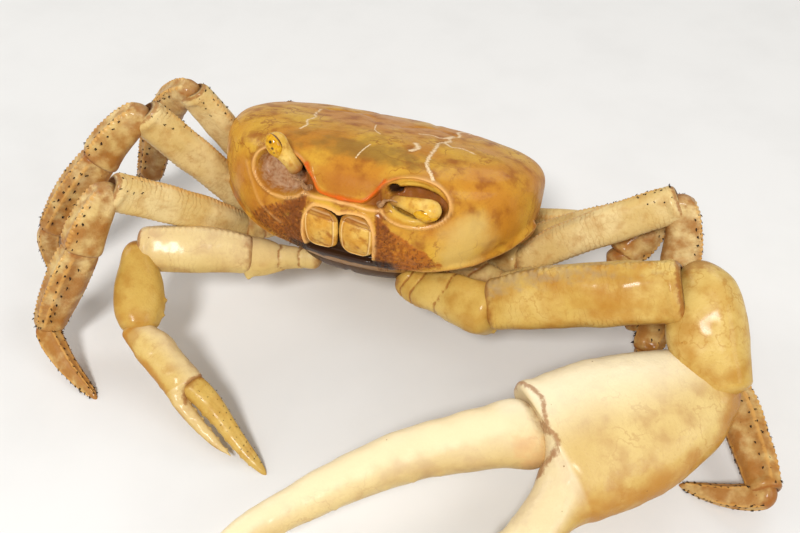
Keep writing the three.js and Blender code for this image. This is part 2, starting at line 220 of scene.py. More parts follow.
def from_body(places: Array) -> Array:
    """Body axes to upright axes: turned nose up by the pitch and set on the body's centre."""
    return places @ BODY_TURN.T + BODY_CENTRE


def way_from_body(way: Triple | Array) -> Array:
    """A direction of the body's axes in upright axes."""
    return from_body(np.asarray(way, dtype=float)) - BODY_CENTRE


# ---- Skins


@dataclass
class Skin:
    """Closed surfaces: corners in millimetres, faces, marks on the corners and a bake map."""

    places: Array
    quads: Array
    tris: Array
    marks: Marks = field(default_factory=dict)
    bake: Array | None = None


def closed_skin(grids: Array, marks: Marks | None = None) -> Skin:
    """Close grids of rings into skins whose first and last rings are single points.

    Args:
        grids: Points as (count, rings, steps, 3), all of one handedness.
        marks: Numbers as (count, rings, steps).

    Returns:
        One skin of all the grids, faces outwards.
    """
    count, rings, steps = grids.shape[:3]

    def gathered(values: Array) -> Array:
        """Put each grid's two poles and its rings in one list of corners.

        Args:
            values: Numbers or points of the grids.

        Returns:
            One row for each corner of the skin.
        """
        tail = values.shape[3:]
        poles = values[:, [0, -1]].mean(2)
        inner = values[:, 1:-1].reshape((count, -1) + tail)
        return np.concatenate([poles[:, :1], inner, poles[:, 1:]], axis=1).reshape((-1,) + tail)

    each = 2 + (rings - 2) * steps
    ring = 1 + np.arange(each - 2).reshape(rings - 2, steps)
    beside = np.roll(ring, -1, axis=1)
    quads = np.stack([ring[:-1], ring[1:], beside[1:], beside[:-1]], -1).reshape(-1, 4)
    near = np.stack([np.zeros(steps, int), ring[0], beside[0]], -1)
    far = np.stack([np.full(steps, each - 1), beside[-1], ring[-1]], -1)
    tris = np.concatenate([near, far])
    places = gathered(grids)
    first = places[:each]
    fans = np.concatenate([tris, quads[:, :3], quads[:, [0, 2, 3]]])
    corner = [first[fans[:, k]] for k in range(3)]
    if np.einsum("ij,ij->i", corner[0], np.cross(corner[1], corner[2])).sum() < 0.0:
        quads, tris = quads[:, ::-1], tris[:, ::-1]
    shift = (np.arange(count) * each)[:, None, None]
    return Skin(places, (quads + shift).reshape(-1, 4), (tris + shift).reshape(-1, 3),
                {name: gathered(mark) for name, mark in (marks or {}).items()})


def one_skin(points: Array, marks: Marks) -> Skin:
    """Close one grid, (rings, steps, 3), with marks that spread over its rings and steps."""
    return closed_skin(points[None], {name: np.broadcast_to(mark, points.shape[:2])[None]
                                      for name, mark in marks.items()})


def held(marks: Marks) -> Marks:
    """Marks kept between 0 and 1."""
    return {name: np.clip(mark, 0.0, 1.0) for name, mark in marks.items()}


def joined(skins: list[Skin]) -> Skin:
    """Lay several skins in one, each keeping its own corners.

    Args:
        skins: The skins in order. All of them have a bake map, or none has.

    Returns:
        One skin. A mark that a skin lacks is 0 there.
    """
    starts = np.cumsum([0] + [len(skin.places) for skin in skins[:-1]])
    names = sorted({name for skin in skins for name in skin.marks})
    marks = {name: np.concatenate([skin.marks.get(name, np.zeros(len(skin.places)))
                                   for skin in skins]) for name in names}
    bakes = [skin.bake for skin in skins]
    return Skin(np.concatenate([skin.places for skin in skins]),
                np.concatenate([skin.quads + start for skin, start in zip(skins, starts)]),
                np.concatenate([skin.tris + start for skin, start in zip(skins, starts)]),
                marks, None if bakes[0] is None else np.concatenate(bakes))


def add_piece(name: str, skin: Skin, finish: Material,
              nodes: tuple[str, ...] = ()) -> bpy.types.Object:
    """Put a skin in the scene as one piece.

    Args:
        name: The piece's name.
        skin: Its surface in millimetres, planed off at the floor.
        finish: What it is dressed in.
        nodes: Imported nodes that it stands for.

    Returns:
        The new object, riding on the root.
    """
    upright = np.maximum(skin.places, [-np.inf, -np.inf, 0.0])
    mesh = bpy.data.meshes.new(name)
    mesh.vertices.add(len(upright))
    mesh.vertices.foreach_set("co", ((upright - MIDDLE) * MM).ravel())
    corners = np.concatenate([skin.quads.ravel(), skin.tris.ravel()]).astype(np.int32)
    mesh.loops.add(len(corners))
    mesh.loops.foreach_set("vertex_index", corners)
    quads, tris = len(skin.quads), len(skin.tris)
    mesh.polygons.add(quads + tris)
    starts = np.concatenate([np.arange(quads) * 4, quads * 4 + np.arange(tris) * 3])
    mesh.polygons.foreach_set("loop_start", starts.astype(np.int32))
    mesh.update(calc_edges=True)
    mesh.shade_smooth()
    for mark, values in skin.marks.items():
        layer = mesh.attributes.new(mark, "FLOAT", "POINT")
        layer.data.foreach_set("value", values.astype(np.float32))
    if skin.bake is not None:
        bake = mesh.uv_layers.new(name="OFBake")
        bake.data.foreach_set("uv", skin.bake[corners].astype(np.float32).ravel())
    mesh.materials.append(finish)
    piece = bpy.data.objects.new(name, mesh)
    bpy.context.scene.collection.objects.link(piece)
    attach(piece, "root")
    if nodes:
        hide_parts(*nodes)
    log.info("%s: %d faces", name, quads + tris)
    return piece


# ---- Finishes


class Graph:
    """Lays out the nodes of one finish."""

    SPECULAR = 0.1

    def __init__(self, name: str, roughness: float, coat: float, coat_roughness: float) -> None:
        """Start a material with its constant gloss set on the shader.

        Args:
            name: The material's name.
            roughness: Roughness of the shell itself.
            coat: Strength of the wet coat over it.
            coat_roughness: Roughness of that coat.
        """
        self.material = bpy.data.materials.new(name)
        self.material.use_nodes = True
        self.tree = self.material.node_tree
        self.shader = self.tree.nodes["Principled BSDF"]
        for socket, value in (("Roughness", roughness), ("Specular IOR Level", self.SPECULAR),
                              ("Coat Weight", coat), ("Coat Roughness", coat_roughness)):
            self.shader.inputs[socket].default_value = value
        self.place = self.node("TexCoord").outputs["Object"]

    def fill(self, socket: Socket, value: object) -> None:
        """Join a socket to another, or set its number or colour.

        Args:
            socket: The socket to fill.
            value: Another node's socket, a number or a colour.
        """
        if isinstance(value, Socket):
            self.tree.links.new(value, socket)
        elif isinstance(value, tuple) and len(value) == 3 and socket.type == "RGBA":
            socket.default_value = (*value, 1.0)
        else:
            socket.default_value = value

    def node(self, kind: str, **inputs: object) -> bpy.types.Node:
        """Add a node and fill its inputs.

        Args:
            kind: The node's kind without its first words.
            inputs: Values by the inputs' names, with underlines for spaces.

        Returns:
            The node.
        """
        node = self.tree.nodes.new("ShaderNode" + kind)
        for name, value in inputs.items():
            self.fill(node.inputs[name.replace("_", " ")], value)
        return node

    def noise(self, size: float, detail: float = 3.0, stretch: Triple = (1.0, 1.0, 1.0),
              shift: float = 0.0) -> Socket:
        """Cloudy noise.

        Args:
            size: Usual width of a cloud in millimetres.
            detail: Levels of finer clouds within.
            stretch: How far the clouds are drawn out along each axis.
            shift: Moves the pattern, so that two noises differ.

        Returns:
            The noise, mostly between 0.3 and 0.7.
        """
        mapping = self.node("Mapping", Vector=self.place, Location=(shift,) * 3,
                            Scale=tuple(1.0 / part for part in stretch))
        cloud = self.node("TexNoise", Vector=mapping.outputs[0], Scale=1.0 / (size * MM),
                          Detail=detail)
        return cloud.outputs[0]

    def dots(self, spacing: float, radius: float, share: float) -> Socket:
        """Round soft dots in the middles of cells.

        Args:
            spacing: Usual width of a cell in millimetres.
            radius: A dot's radius in millimetres.
            share: Share of the cells that have a dot.

        Returns:
            1 on a dot and 0 beside it.
        """
        cells = self.node("TexVoronoi", Vector=self.place, Scale=1.0 / (spacing * MM))
        split = self.node("SeparateColor", Color=cells.outputs["Color"])
        near = self.band(cells.outputs["Distance"], radius / spacing, 0.5 * radius / spacing)
        return self.product(near, self.maths("LESS_THAN", split.outputs["Red"], share))

    def mark(self, name: str) -> Socket:
        """Number that the piece keeps on its corners.

        Args:
            name: The mark's name.

        Returns:
            The mark, or 0 where a piece lacks it.
        """
        attribute = self.node("Attribute")
        attribute.attribute_name = name
        return attribute.outputs["Fac"]

    def maths(self, kind: str, first: object, second: object = 0.0) -> Socket:
        """Reckon with two numbers.

        Args:
            kind: The reckoning, as the Math node names it.
            first: Its first number or socket.
            second: Its second, where it has one.

        Returns:
            The result.
        """
        node = self.node("Math")
        node.operation = kind
        self.fill(node.inputs[0], first)
        self.fill(node.inputs[1], second)
        return node.outputs[0]

    def product(self, first: object, second: object) -> Socket:
        """One number times another."""
        return self.maths("MULTIPLY", first, second)

    def total(self, first: object, second: object) -> Socket:
        """One number added to another."""
        return self.maths("ADD", first, second)

    def band(self, value: object, low: float, high: float, top: float = 1.0) -> Socket:
        """Soft step of a number.

        Args:
            value: The number.
            low: Where the step is 0.
            high: Where it is at its top.
            top: The top.

        Returns:
            The step, between 0 and the top.
        """
        node = self.node("MapRange", Value=value, From_Min=low, From_Max=high, To_Max=top)
        node.interpolation_type = "SMOOTHSTEP"
        return node.outputs["Result"]

    def blend(self, share: object, under: object, over: object) -> Socket:
        """Lay a colour over another.

        Args:
            share: How much of the upper colour shows.
            under: The lower colour.
            over: The upper colour.

        Returns:
            The blended colour.
        """
        node = self.node("Mix")
        node.data_type = "RGBA"
        for socket, value in ((0, share), (6, under), (7, over)):
            self.fill(node.inputs[socket], value)
        return node.outputs[2]

    def finish(self, colour: object, height: object, depth: float, roughness: object) -> Material:
        """Join the finish to the shader.

        Args:
            colour: The base colour.
            height: Height of the bump, around 0 to 1.
            depth: What a height of 1 is in millimetres.
            roughness: The roughness.

        Returns:
            The finished material.
        """
        bump = self.node("Bump", Distance=depth * MM, Height=height)
        for socket, value in (("Base Color", colour), ("Roughness", roughness),
                              ("Normal", bump.outputs["Normal"])):
            self.fill(self.shader.inputs[socket], value)
        return self.material


@dataclass(frozen=True)
class Marking:
    """A colour laid where a mark is strong.

    strength scales it, patch breaks it into clouds of that size in millimetres, and rise lifts
    the surface there by that many bump depths.
    """

    mark: str
    colour: Colour
    strength: float = 1.0
    patch: float = 0.0
    rise: float = 0.0


@dataclass(frozen=True)
class ShellFinish:
    """Wet, waxy shell: three mottled tones, fine grain, pits, wrinkles, freckles and marks.

    Sizes are millimetres. deep_share, freckle_share and veins say how strong those layers are.
    """

    name: str
    tone: Colour
    light: Colour
    deep: Colour
    cloud: float = 26.0
    mottle: float = 6.0
    deep_share: float = 0.55
    wrinkle: float = 0.0
    freckle: Colour = (0.2, 0.085, 0.02)
    freckle_share: float = 0.0
    veins: float = 0.0
    roughness: float = 0.34
    coat: float = 0.2
    depth: float = 0.2
    markings: tuple[Marking, ...] = ()

    COAT_ROUGHNESS = 0.16
    GRAIN = 0.7
    STREAK = 2.4
    VEIN_SPACING = 9.0
    FRECKLE_SPACING = 2.6
    FRECKLE_RADIUS = 0.32
    RAGGED = 1.8  # how far the clouds push the edge of a patched marking
    FOLD_WAVE = 1.7
    FOLD_WAVER = 5.0

    def build(self) -> Material:
        """Lay out the finish's nodes.

        Returns:
            The finished material.
        """
        graph = Graph(self.name, self.roughness, self.coat, self.COAT_ROUGHNESS)
        clouds, mottles = graph.noise(self.cloud), graph.noise(self.mottle, 5.0, shift=3.1)
        grain = graph.noise(self.GRAIN)
        streaks = graph.noise(self.STREAK, 4.0, (1.0, 4.0, 1.0), 7.7)
        colour = graph.blend(graph.band(clouds, 0.38, 0.66), self.tone, self.light)
        for share in (graph.band(mottles, 0.46, 0.74, self.deep_share),
                      graph.band(streaks, 0.56, 0.78, 0.3), graph.band(grain, 0.5, 0.85, 0.35)):
            colour = graph.blend(share, colour, self.deep)
        if self.veins:
            colour = graph.blend(self.vein_lines(graph, clouds), colour, self.deep)
        height = graph.total(graph.product(grain, 0.6), graph.product(mottles, 1.3))
        if self.wrinkle:
            folds = self.folds(graph)
            # the creases are also darkened, as painted shade
            colour = graph.blend(graph.product(folds, 0.55), colour, self.deep)
            height = graph.maths("SUBTRACT", height, graph.product(folds, self.wrinkle))
        for marking in self.markings:
            share = graph.product(self.laid(graph, marking), marking.strength)
            colour = graph.blend(share, colour, marking.colour)
            if marking.rise:
                height = graph.total(height, graph.product(share, marking.rise))
        if self.freckle_share:
            dots = graph.dots(self.FRECKLE_SPACING, self.FRECKLE_RADIUS, self.freckle_share)
            colour = graph.blend(graph.product(dots, 0.8), colour, self.freckle)
        rough = graph.total(graph.band(mottles, 0.3, 0.7, 0.16), self.roughness - 0.08)
        return graph.finish(colour, height, self.depth, rough)

    def laid(self, graph: Graph, marking: Marking) -> Socket:
        """Where a marking shows: its mark, ragged with clouds if it comes in patches.

        Args:
            graph: The finish being laid out.
            marking: The marking.

        Returns:
            Its share before its strength.
        """
        mark = graph.mark(marking.mark)
        if not marking.patch:
            return mark
        ragged = graph.maths("SUBTRACT", graph.noise(marking.patch, 4.0, shift=1.7), 0.5)
        ragged = graph.total(mark, graph.product(ragged, self.RAGGED))
        return graph.product(graph.band(ragged, 0.15, 0.95), graph.band(mark, 0.0, 0.3))

    def vein_lines(self, graph: Graph, clouds: Socket) -> Socket:
        """Thin wandering lines where a noise crosses its middle value, kept to the light clouds.

        Args:
            graph: The finish being laid out.
            clouds: The noise of its broad tones.

        Returns:
            Share of the lines.
        """
        drift = graph.noise(self.VEIN_SPACING, 5.0, shift=12.3)
        off = graph.maths("ABSOLUTE", graph.maths("SUBTRACT", drift, 0.5))
        return graph.product(graph.band(off, 0.02, 0.0), graph.band(clouds, 0.42, 0.6, self.veins))

    def folds(self, graph: Graph) -> Socket:
        """Fine creases across the run: thin crests of a wavering sine, kept in patches.

        Args:
            graph: The finish being laid out.

        Returns:
            Share of the creases.
        """
        waver = graph.product(graph.noise(5.0, 3.0, shift=5.0), self.FOLD_WAVER)
        phase = graph.product(graph.total(graph.mark("run"), waver), TAU / self.FOLD_WAVE)
        crest = graph.band(graph.maths("SINE", phase), 0.72, 1.0)
        patch = graph.band(graph.noise(7.0, 3.0, shift=9.0), 0.44, 0.6)
        return graph.product(graph.product(crest, patch), graph.mark("crease"))


@dataclass(frozen=True)
class PlainFinish:
    """Small parts: two mottled tones with a fine bump."""

    name: str
    tone: Colour
    deep: Colour
    mottle: float = 1.2
    roughness: float = 0.3
    coat: float = 0.0
    depth: float = 0.05
    markings: tuple[Marking, ...] = ()

    COAT_ROUGHNESS = 0.04

    def build(self) -> Material:
        """Lay out the finish's nodes.

        Returns:
            The finished material.
        """
        graph = Graph(self.name, self.roughness, self.coat, self.COAT_ROUGHNESS)
        mottles = graph.noise(self.mottle, 4.0)
        colour = graph.blend(graph.band(mottles, 0.4, 0.7, 0.8), self.tone, self.deep)
        for marking in self.markings:
            share = graph.product(graph.mark(marking.mark), marking.strength)
            colour = graph.blend(share, colour, marking.colour)
        rough = graph.total(graph.band(mottles, 0.3, 0.7, 0.08), self.roughness)
        return graph.finish(colour, mottles, self.depth, rough)


JOINT_BROWN = (0.26, 0.075, 0.01)
JOINT_SKIN = (0.1, 0.032, 0.01)
ORANGE_RIM = (0.62, 0.1, 0.003)
PALE_LIP = (0.78, 0.42, 0.14)

JOINT_MARKINGS = (
    Marking("root", JOINT_BROWN, 0.6, 2.5),
    Marking("edge", JOINT_BROWN, 0.7, 1.2),
    Marking("lining", JOINT_SKIN, 0.95),
)

CARAPACE_FINISH = ShellFinish(
    "carapace_shell", (0.5, 0.205, 0.02), (0.61, 0.345, 0.038), (0.28, 0.08, 0.009),
    cloud=19.0, mottle=6.0, deep_share=0.85, veins=0.75, roughness=0.46, markings=(
        # pale left flank; kept almost off the right flank, whose darker look is partly browner
        # shell and partly painted shade
        Marking("flank", (0.62, 0.42, 0.125), 0.8, 14.0),
        # brown band behind the front rim, the back and rear edges, plus painted shade low on the
        # right flank
        Marking("brow", (0.4, 0.135, 0.014), 0.75, 10.0),
        Marking("olive", (0.26, 0.135, 0.022), 0.75, 5.0),
        Marking("cheek", (0.4, 0.115, 0.011), 0.9, 2.6, 1.5),
        Marking("gore", (0.15, 0.04, 0.008), 0.85, 1.3, 2.0),
        # painted shade in the eye sockets, the notch, the groove under the front rim and round the
        # socket brims
        Marking("hollow", (0.24, 0.07, 0.012), 0.92),
        Marking("pearl", (0.4, 0.23, 0.125), 0.8, 2.8, 0.8),
        Marking("pearl", (0.66, 0.45, 0.26), 0.35, 0.9, 0.6),
        Marking("amber", (0.66, 0.4, 0.06), 0.9, 3.0),
        # near black: painted shade in the mouth opening, the throat under it, the pit and the
        # crease in the left socket, and the gap under the lower edge
        Marking("gullet", (0.022, 0.008, 0.005), 0.97),
        Marking("scratch", (0.84, 0.62, 0.36), 0.95, 0.8, 1.0),
        Marking("lip", PALE_LIP, 0.9),
        Marking("rim", ORANGE_RIM, 0.96),
        Marking("under", (0.4, 0.2, 0.06), 0.8, 4.0),
    ))
LEG_FINISH = ShellFinish(
    "leg_shell", (0.62, 0.43, 0.155), (0.71, 0.54, 0.25), (0.43, 0.2, 0.04),
    cloud=16.0, mottle=3.5, deep_share=0.45, wrinkle=0.7, freckle_share=0.1, veins=0.25,
    roughness=0.48, markings=(
        # orange-brown shell, a little stronger on the lower side as painted shade
        Marking("warm", (0.31, 0.105, 0.011), 0.85, 5.0),
        Marking("crest", (0.66, 0.34, 0.08), 0.55, 2.0),
    ) + JOINT_MARKINGS)
CLAW_FINISH = ShellFinish(
    "claw_shell", (0.54, 0.34, 0.075), (0.63, 0.44, 0.135), (0.4, 0.185, 0.024),
    cloud=22.0, mottle=7.0, deep_share=0.7, wrinkle=0.5, freckle_share=0.07, veins=0.5,
    roughness=0.42, markings=(
        # orange-brown shell, and painted shade along the hands' lower edges and at the wrists
        Marking("warm", (0.4, 0.165, 0.016), 0.85, 9.0),
        # the claws' own cream, laid brighter towards their upper sides as painted light
        Marking("cream", (0.9, 0.82, 0.6), 0.92),
        Marking("ivory", (0.8, 0.66, 0.4), 0.9, 9.0),
        Marking("blush", (0.66, 0.34, 0.14), 0.4, 3.0),
        Marking("dirt", (0.36, 0.25, 0.13), 0.65, 2.6),
    ) + JOINT_MARKINGS)
UNDER_FINISH = ShellFinish(
    "underside_shell", (0.58, 0.37, 0.12), (0.68, 0.5, 0.22), (0.36, 0.15, 0.03),
    cloud=16.0, mottle=5.0, roughness=0.48, markings=(
        Marking("seam", (0.18, 0.06, 0.015), 0.85),
        # near black on the front of the chest plate: painted shade under the mouth
        Marking("front", (0.05, 0.018, 0.008), 0.95),
    ) + JOINT_MARKINGS)
MOUTH_FINISH = ShellFinish(
    "mouth_plate", (0.58, 0.28, 0.036), (0.68, 0.42, 0.09), (0.34, 0.115, 0.013),
    cloud=5.0, mottle=2.4, deep_share=0.9, roughness=0.45, markings=(
        Marking("lip", (0.8, 0.56, 0.27), 0.95),
        # near black on the plate's back face and sides: painted shade inside the mouth
        Marking("lining", (0.04, 0.014, 0.007), 0.97),
        Marking("groove", (0.28, 0.09, 0.015), 0.8),
    ))
STALK_FINISH = ShellFinish(
    "stalk_shell", (0.66, 0.38, 0.055), (0.74, 0.5, 0.13), (0.42, 0.16, 0.018),
    cloud=6.0, mottle=2.2, deep_share=0.7, roughness=0.36, coat=0.25, markings=(
        Marking("root", (0.22, 0.07, 0.018), 0.9),
    ))
CORNEA_FINISH = PlainFinish(
    "cornea", (0.66, 0.35, 0.012), (0.42, 0.16, 0.008), 1.3, 0.12, 0.5, 0.01,
    # dark brown on the window where it meets the stalk: painted shade
    (Marking("skirt", (0.1, 0.03, 0.008), 0.9), Marking("pupil", (0.012, 0.006, 0.004), 0.95)))
BRISTLE_FINISH = PlainFinish("bristle", (0.03, 0.014, 0.008), (0.008, 0.005, 0.003), 0.5, 0.4)
HAIR_FINISH = PlainFinish("cheek_hair", (0.2, 0.075, 0.02), (0.07, 0.028, 0.01), 0.5, 0.45)
FEELER_FINISH = PlainFinish("feeler", (0.4, 0.22, 0.1), (0.14, 0.06, 0.025), 0.9, 0.35)
FLOOR_FINISH = PlainFinish("studio_floor", (0.74, 0.73, 0.71), (0.71, 0.7, 0.68), 40.0, 0.7)


# ---- Limb plates


@dataclass(frozen=True)
class Ridge:
    """A raised line along a plate, at an angle in degrees round it from its width line."""

    angle: float
    height: float
    breadth: float = 14.0
    bead: float = 0.0
    span: Pair = (0.04, 0.96)


@dataclass(frozen=True)
class Teeth:
    """Blunt teeth along one line of a plate, with radii in millimetres, largest at its root."""

    angle: float
    span: Pair
    count: int
    radius: float
    height: float = 0.6


@dataclass(frozen=True)
class BristleRow:
    """Tufts in a row along a plate: angle in degrees, number, span and length."""

    angle: float
    count: int
    span: Pair
    length: float


def faces(*details: Ridge | BristleRow) -> tuple[Ridge | BristleRow, ...]:
    """Each detail and its twin on the other face of the plate, at 180 degrees less its angle."""
    return tuple(twin for detail in details
                 for twin in (detail, replace(detail, angle=180.0 - detail.angle)))


@dataclass(frozen=True)
class PlateForm:
    """Sections of a plate: half heights and widths at even stations, bow, ends and details.

    Lengths are millimetres. domes are the shares of the run over which its ends round off, and
    square is 1 for round sections and less for squarer ones. A plate with a socket is open at
    its far end, over a shoulder, to that depth. crease, warm, dirt and ivory are
    strengths of the marks; a warm below 0 is cream instead. The orange-brown
    is a little stronger on the lower side as painted shade, and the cream brighter on the upper
    side as painted light.
    """

    high: Stations
    wide: Stations
    lift: Stations = (0.0, 0.0)
    domes: Pair = (0.1, 0.1)
    square: float = 0.85
    nesting: float = 0.0
    socket: float = 0.0
    shoulder: float = 1.8
    opening: float = 0.62
    ridges: tuple[Ridge, ...] = ()
    teeth: tuple[Teeth, ...] = ()
    rings: tuple[float, ...] = ()
    bristles: tuple[BristleRow, ...] = ()
    crease: float = 0.0
    warm: float = 0.0
    dirt: float = 0.0
    ivory: float = 0.0
    relief: float = 0.22
    rows: int = 90
    steps: int = 64


@dataclass
class Plate:
    """One shell plate: sections carried along an axis that may bow, open at the far end."""

    form: PlateForm
    start: Array
    end: Array
    up: Array
    girth: float = 1.0
    seed: int = 1

    PIVOT = 20.0  # half breadth in degrees of the pivots beside a joint
    TOOTH_BREADTH = 0.9  # of a tooth's radius
    SEAM_DEPTH = 0.45
    ROOT_STAIN = 3.6

    def axes(self) -> tuple[Array, Array, Array, float]:
        """The plate's own directions.

        Returns:
            Axis, height and width directions, and the length.
        """
        run = self.end - self.start
        length = float(np.linalg.norm(run))
        axis = run / length
        height = unit(self.up - axis * (self.up @ axis))
        return axis, height, np.cross(axis, height), length

    def rows(self, length: float) -> tuple[Array, Array, Array]:
        """Rings of the plate: outside, round the shoulder of its open end and down inside.

        Args:
            length: The plate's length in millimetres.

        Returns:
            Distance along the axis, the section's shrinking, and the lining mark.
        """
        form = self.form
        spaced = np.linspace(0.0, 1.0, form.rows)
        share = 0.5 - 0.5 * signed_power(np.cos(math.pi * spaced), 0.8)
        if not form.socket:
            shrink = dome(share, form.domes[0]) * dome(1.0 - share, form.domes[1])
            return share * length, shrink, share * 0.0
        outer = (1.0 - np.cos(spaced * math.pi / 2.0)) * 0.5 + 0.5 * spaced
        edge = length - form.shoulder
        turn = np.linspace(0.0, math.pi / 2.0, 12)[1:]
        sink = np.linspace(0.0, 1.0, 10)[1:]
        place = np.concatenate([outer * edge, edge + form.shoulder * np.sin(turn),
                                length - form.socket * np.sin(sink * math.pi / 2.0)])
        shrink = np.concatenate([dome(outer, form.domes[0]),
                                 1.0 - (1.0 - form.opening) * (1.0 - np.cos(turn)),
                                 form.opening * np.cos(sink * math.pi / 2.0)])
        lining = np.concatenate([outer * 0.0, smooth(turn / math.pi * 4.0 - 1.0), sink * 0.0 + 1.0])
        return place, shrink, lining

    def sections(self, place: Array, shrink: Array, angle: Array) -> tuple[Array, Array]:
        """Points of the sections and the ways out from them.

        A point is the start, plus the axis times the distance, plus the height direction times
        the bow and the half height's share, plus the width direction times the half width's.

        Args:
            place: Distances along the axis.
            shrink: Share of the section's size.
            angle: Angles round the section.

        Returns:
            Points and unit directions as (rings, steps, 3).
        """
        form = self.form
        axis, height, width, length = self.axes()
        share = place / length
        tall = (along(form.high, share) * self.girth * shrink)[..., None]
        broad = (along(form.wide, share) * self.girth * shrink)[..., None]
        up, across = (signed_power(wave(angle), form.square) for wave in (np.sin, np.cos))
        bow = along(form.lift, share)[..., None]
        points = (self.start + place[..., None, None] * axis
                  + (bow + tall * up)[..., None] * height + (broad * across)[..., None] * width)
        high, wide = np.sin(angle) / np.mean(form.high), np.cos(angle) / np.mean(form.wide)
        out = unit(high[..., None] * height + wide[..., None] * width)
        return points, np.broadcast_to(out, points.shape)

    def raised(self, share: Array, angle: Array, length: float) -> tuple[Array, Array]:
        """Relief over the plain section: bells across the ridges, round the teeth and at seams.

        Args:
            share: Share of the run at each ring.
            angle: Angles round the section.
            length: The plate's length.

        Returns:
            The height in millimetres and the crest mark.
        """
        form = self.form
        rise = np.zeros((len(share), len(angle)))
        crest = np.zeros_like(rise)
        place = share * length
        for ridge in form.ridges:
            run = smooth((share - ridge.span[0]) / 0.1) * smooth((ridge.span[1] - share) / 0.06)
            beads = 1.0 + 0.45 * np.sin(TAU * place / ridge.bead) if ridge.bead else 1.0
            peak = (run * beads)[:, None] * bell(gap_round(angle, ridge.angle), ridge.breadth)
            rise += ridge.height * peak
            crest += peak * (ridge.height > 0.0)
        for teeth in form.teeth:
            across = np.radians(gap_round(angle, teeth.angle))
            sites = np.linspace(*teeth.span, teeth.count)
            for site, size in zip(sites, teeth.radius * (1.15 - 0.6 * sites)):
                lengthways = (share[:, None] - site) * length
                sideways, broad = across * along(form.wide, site), self.TOOTH_BREADTH * size
                rise += teeth.height * size * bell(lengthways, broad) * bell(sideways, broad)
                crest += bell(lengthways, size) * bell(sideways, size)
        rise -= self.SEAM_DEPTH * self.seams(share, angle, length, 0.5)
        if form.socket:
            rim = bell(place - length + form.shoulder + 0.6, 1.3)[:, None]
            pivots = sum(bell(gap_round(angle, degrees), self.PIVOT) for degrees in (0.0, 180.0))
            rise += rim * (0.12 + 0.6 * pivots)
        return rise, np.clip(crest, 0.0, 1.0)

    def seams(self, share: Array, angle: Array, length: float, width: float) -> Array:
        """Bells round the rings, which run crooked: slow sines of the angle shift them.

        Args:
            share: Share of the run at each ring of points.
            angle: Angles round the section.
            length: The plate's length.
            width: The bells' width.

        Returns:
            Their sum as (rings, steps).
        """
        crook = 1.6 * np.sin(angle - 0.8) + 0.9 * np.sin(2.0 * angle) + 0.3 * np.sin(5.0 * angle)
        bells = (bell((share - ring)[:, None] * length - crook, width) for ring in self.form.rings)
        return sum(bells, np.zeros((len(share), len(angle))))

    def skin(self) -> Skin:
        """The plate's surface: its sections, pushed out by relief and hills.

        Returns:
            The closed skin.
        """
        form = self.form
        length = self.axes()[3]
        place, shrink, lining = self.rows(length)
        angle = round_turn(form.steps)
        points, out = self.sections(place, shrink, angle)
        share = place / length
        rise, crest = self.raised(share, angle, length)
        body = (smooth(shrink) * (1.0 - lining))[:, None]
        hills = form.relief * swelling(points, 14.0, self.seed) + 0.06 * swelling(points, 4.0, 7)
        points = points + ((rise + hills) * body)[..., None] * out
        rim = (bell(length - place - 0.3 * form.shoulder, 0.35 * form.shoulder) if form.socket
               else share * 0.0)
        edge = np.clip(rim[:, None] + self.seams(share, angle, length, 0.45), 0.0, 1.0)
        sine, run = np.sin(angle)[None], share[:, None]
        marks = {
            "run": place[:, None],
            "edge": edge * (1.0 - lining[:, None]),
            "root": bell(place, self.ROOT_STAIN)[:, None],
            "lining": lining[:, None],
            "crest": crest,
            # orange-brown, a little stronger on the lower side as painted shade
            "warm": max(form.warm, 0.0) * (0.75 + 0.25 * run) * (0.95 - 0.15 * sine),
            # cream, brighter on the upper side as painted light
            "cream": max(-form.warm, 0.0) * (0.6 + 0.4 * sine),
            "ivory": form.ivory * smooth((run - 0.04) / 0.1) * smooth(sine + 0.75),
            "blush": form.ivory * bell(run - 0.07, 0.05) * smooth(-1.5 * sine),
            "dirt": form.dirt * smooth((sine + 0.1) / 0.6) * (1.0 - 0.8 * run),
            "crease": form.crease * (0.35 + 0.65 * np.abs(sine)),
        }
        return one_skin(points, marks)

    def sites(self, share: Array, angle: Array) -> tuple[Array, Array, Array]:
        """Places on the plain section, one for each pair of a share and an angle.

        Args:
            share: Shares of the run.
            angle: Angles round the section.

        Returns:
            Points, ways out and ways along.
        """
        axis, _, _, length = self.axes()
        ends = 1.0 if self.form.socket else dome(1.0 - share, self.form.domes[1])
        points, out = self.sections(share * length, share * 0.0 + ends, angle)
        each = np.arange(len(share))
        return points[each, each], out[each, each], np.broadcast_to(axis, (len(share), 3))


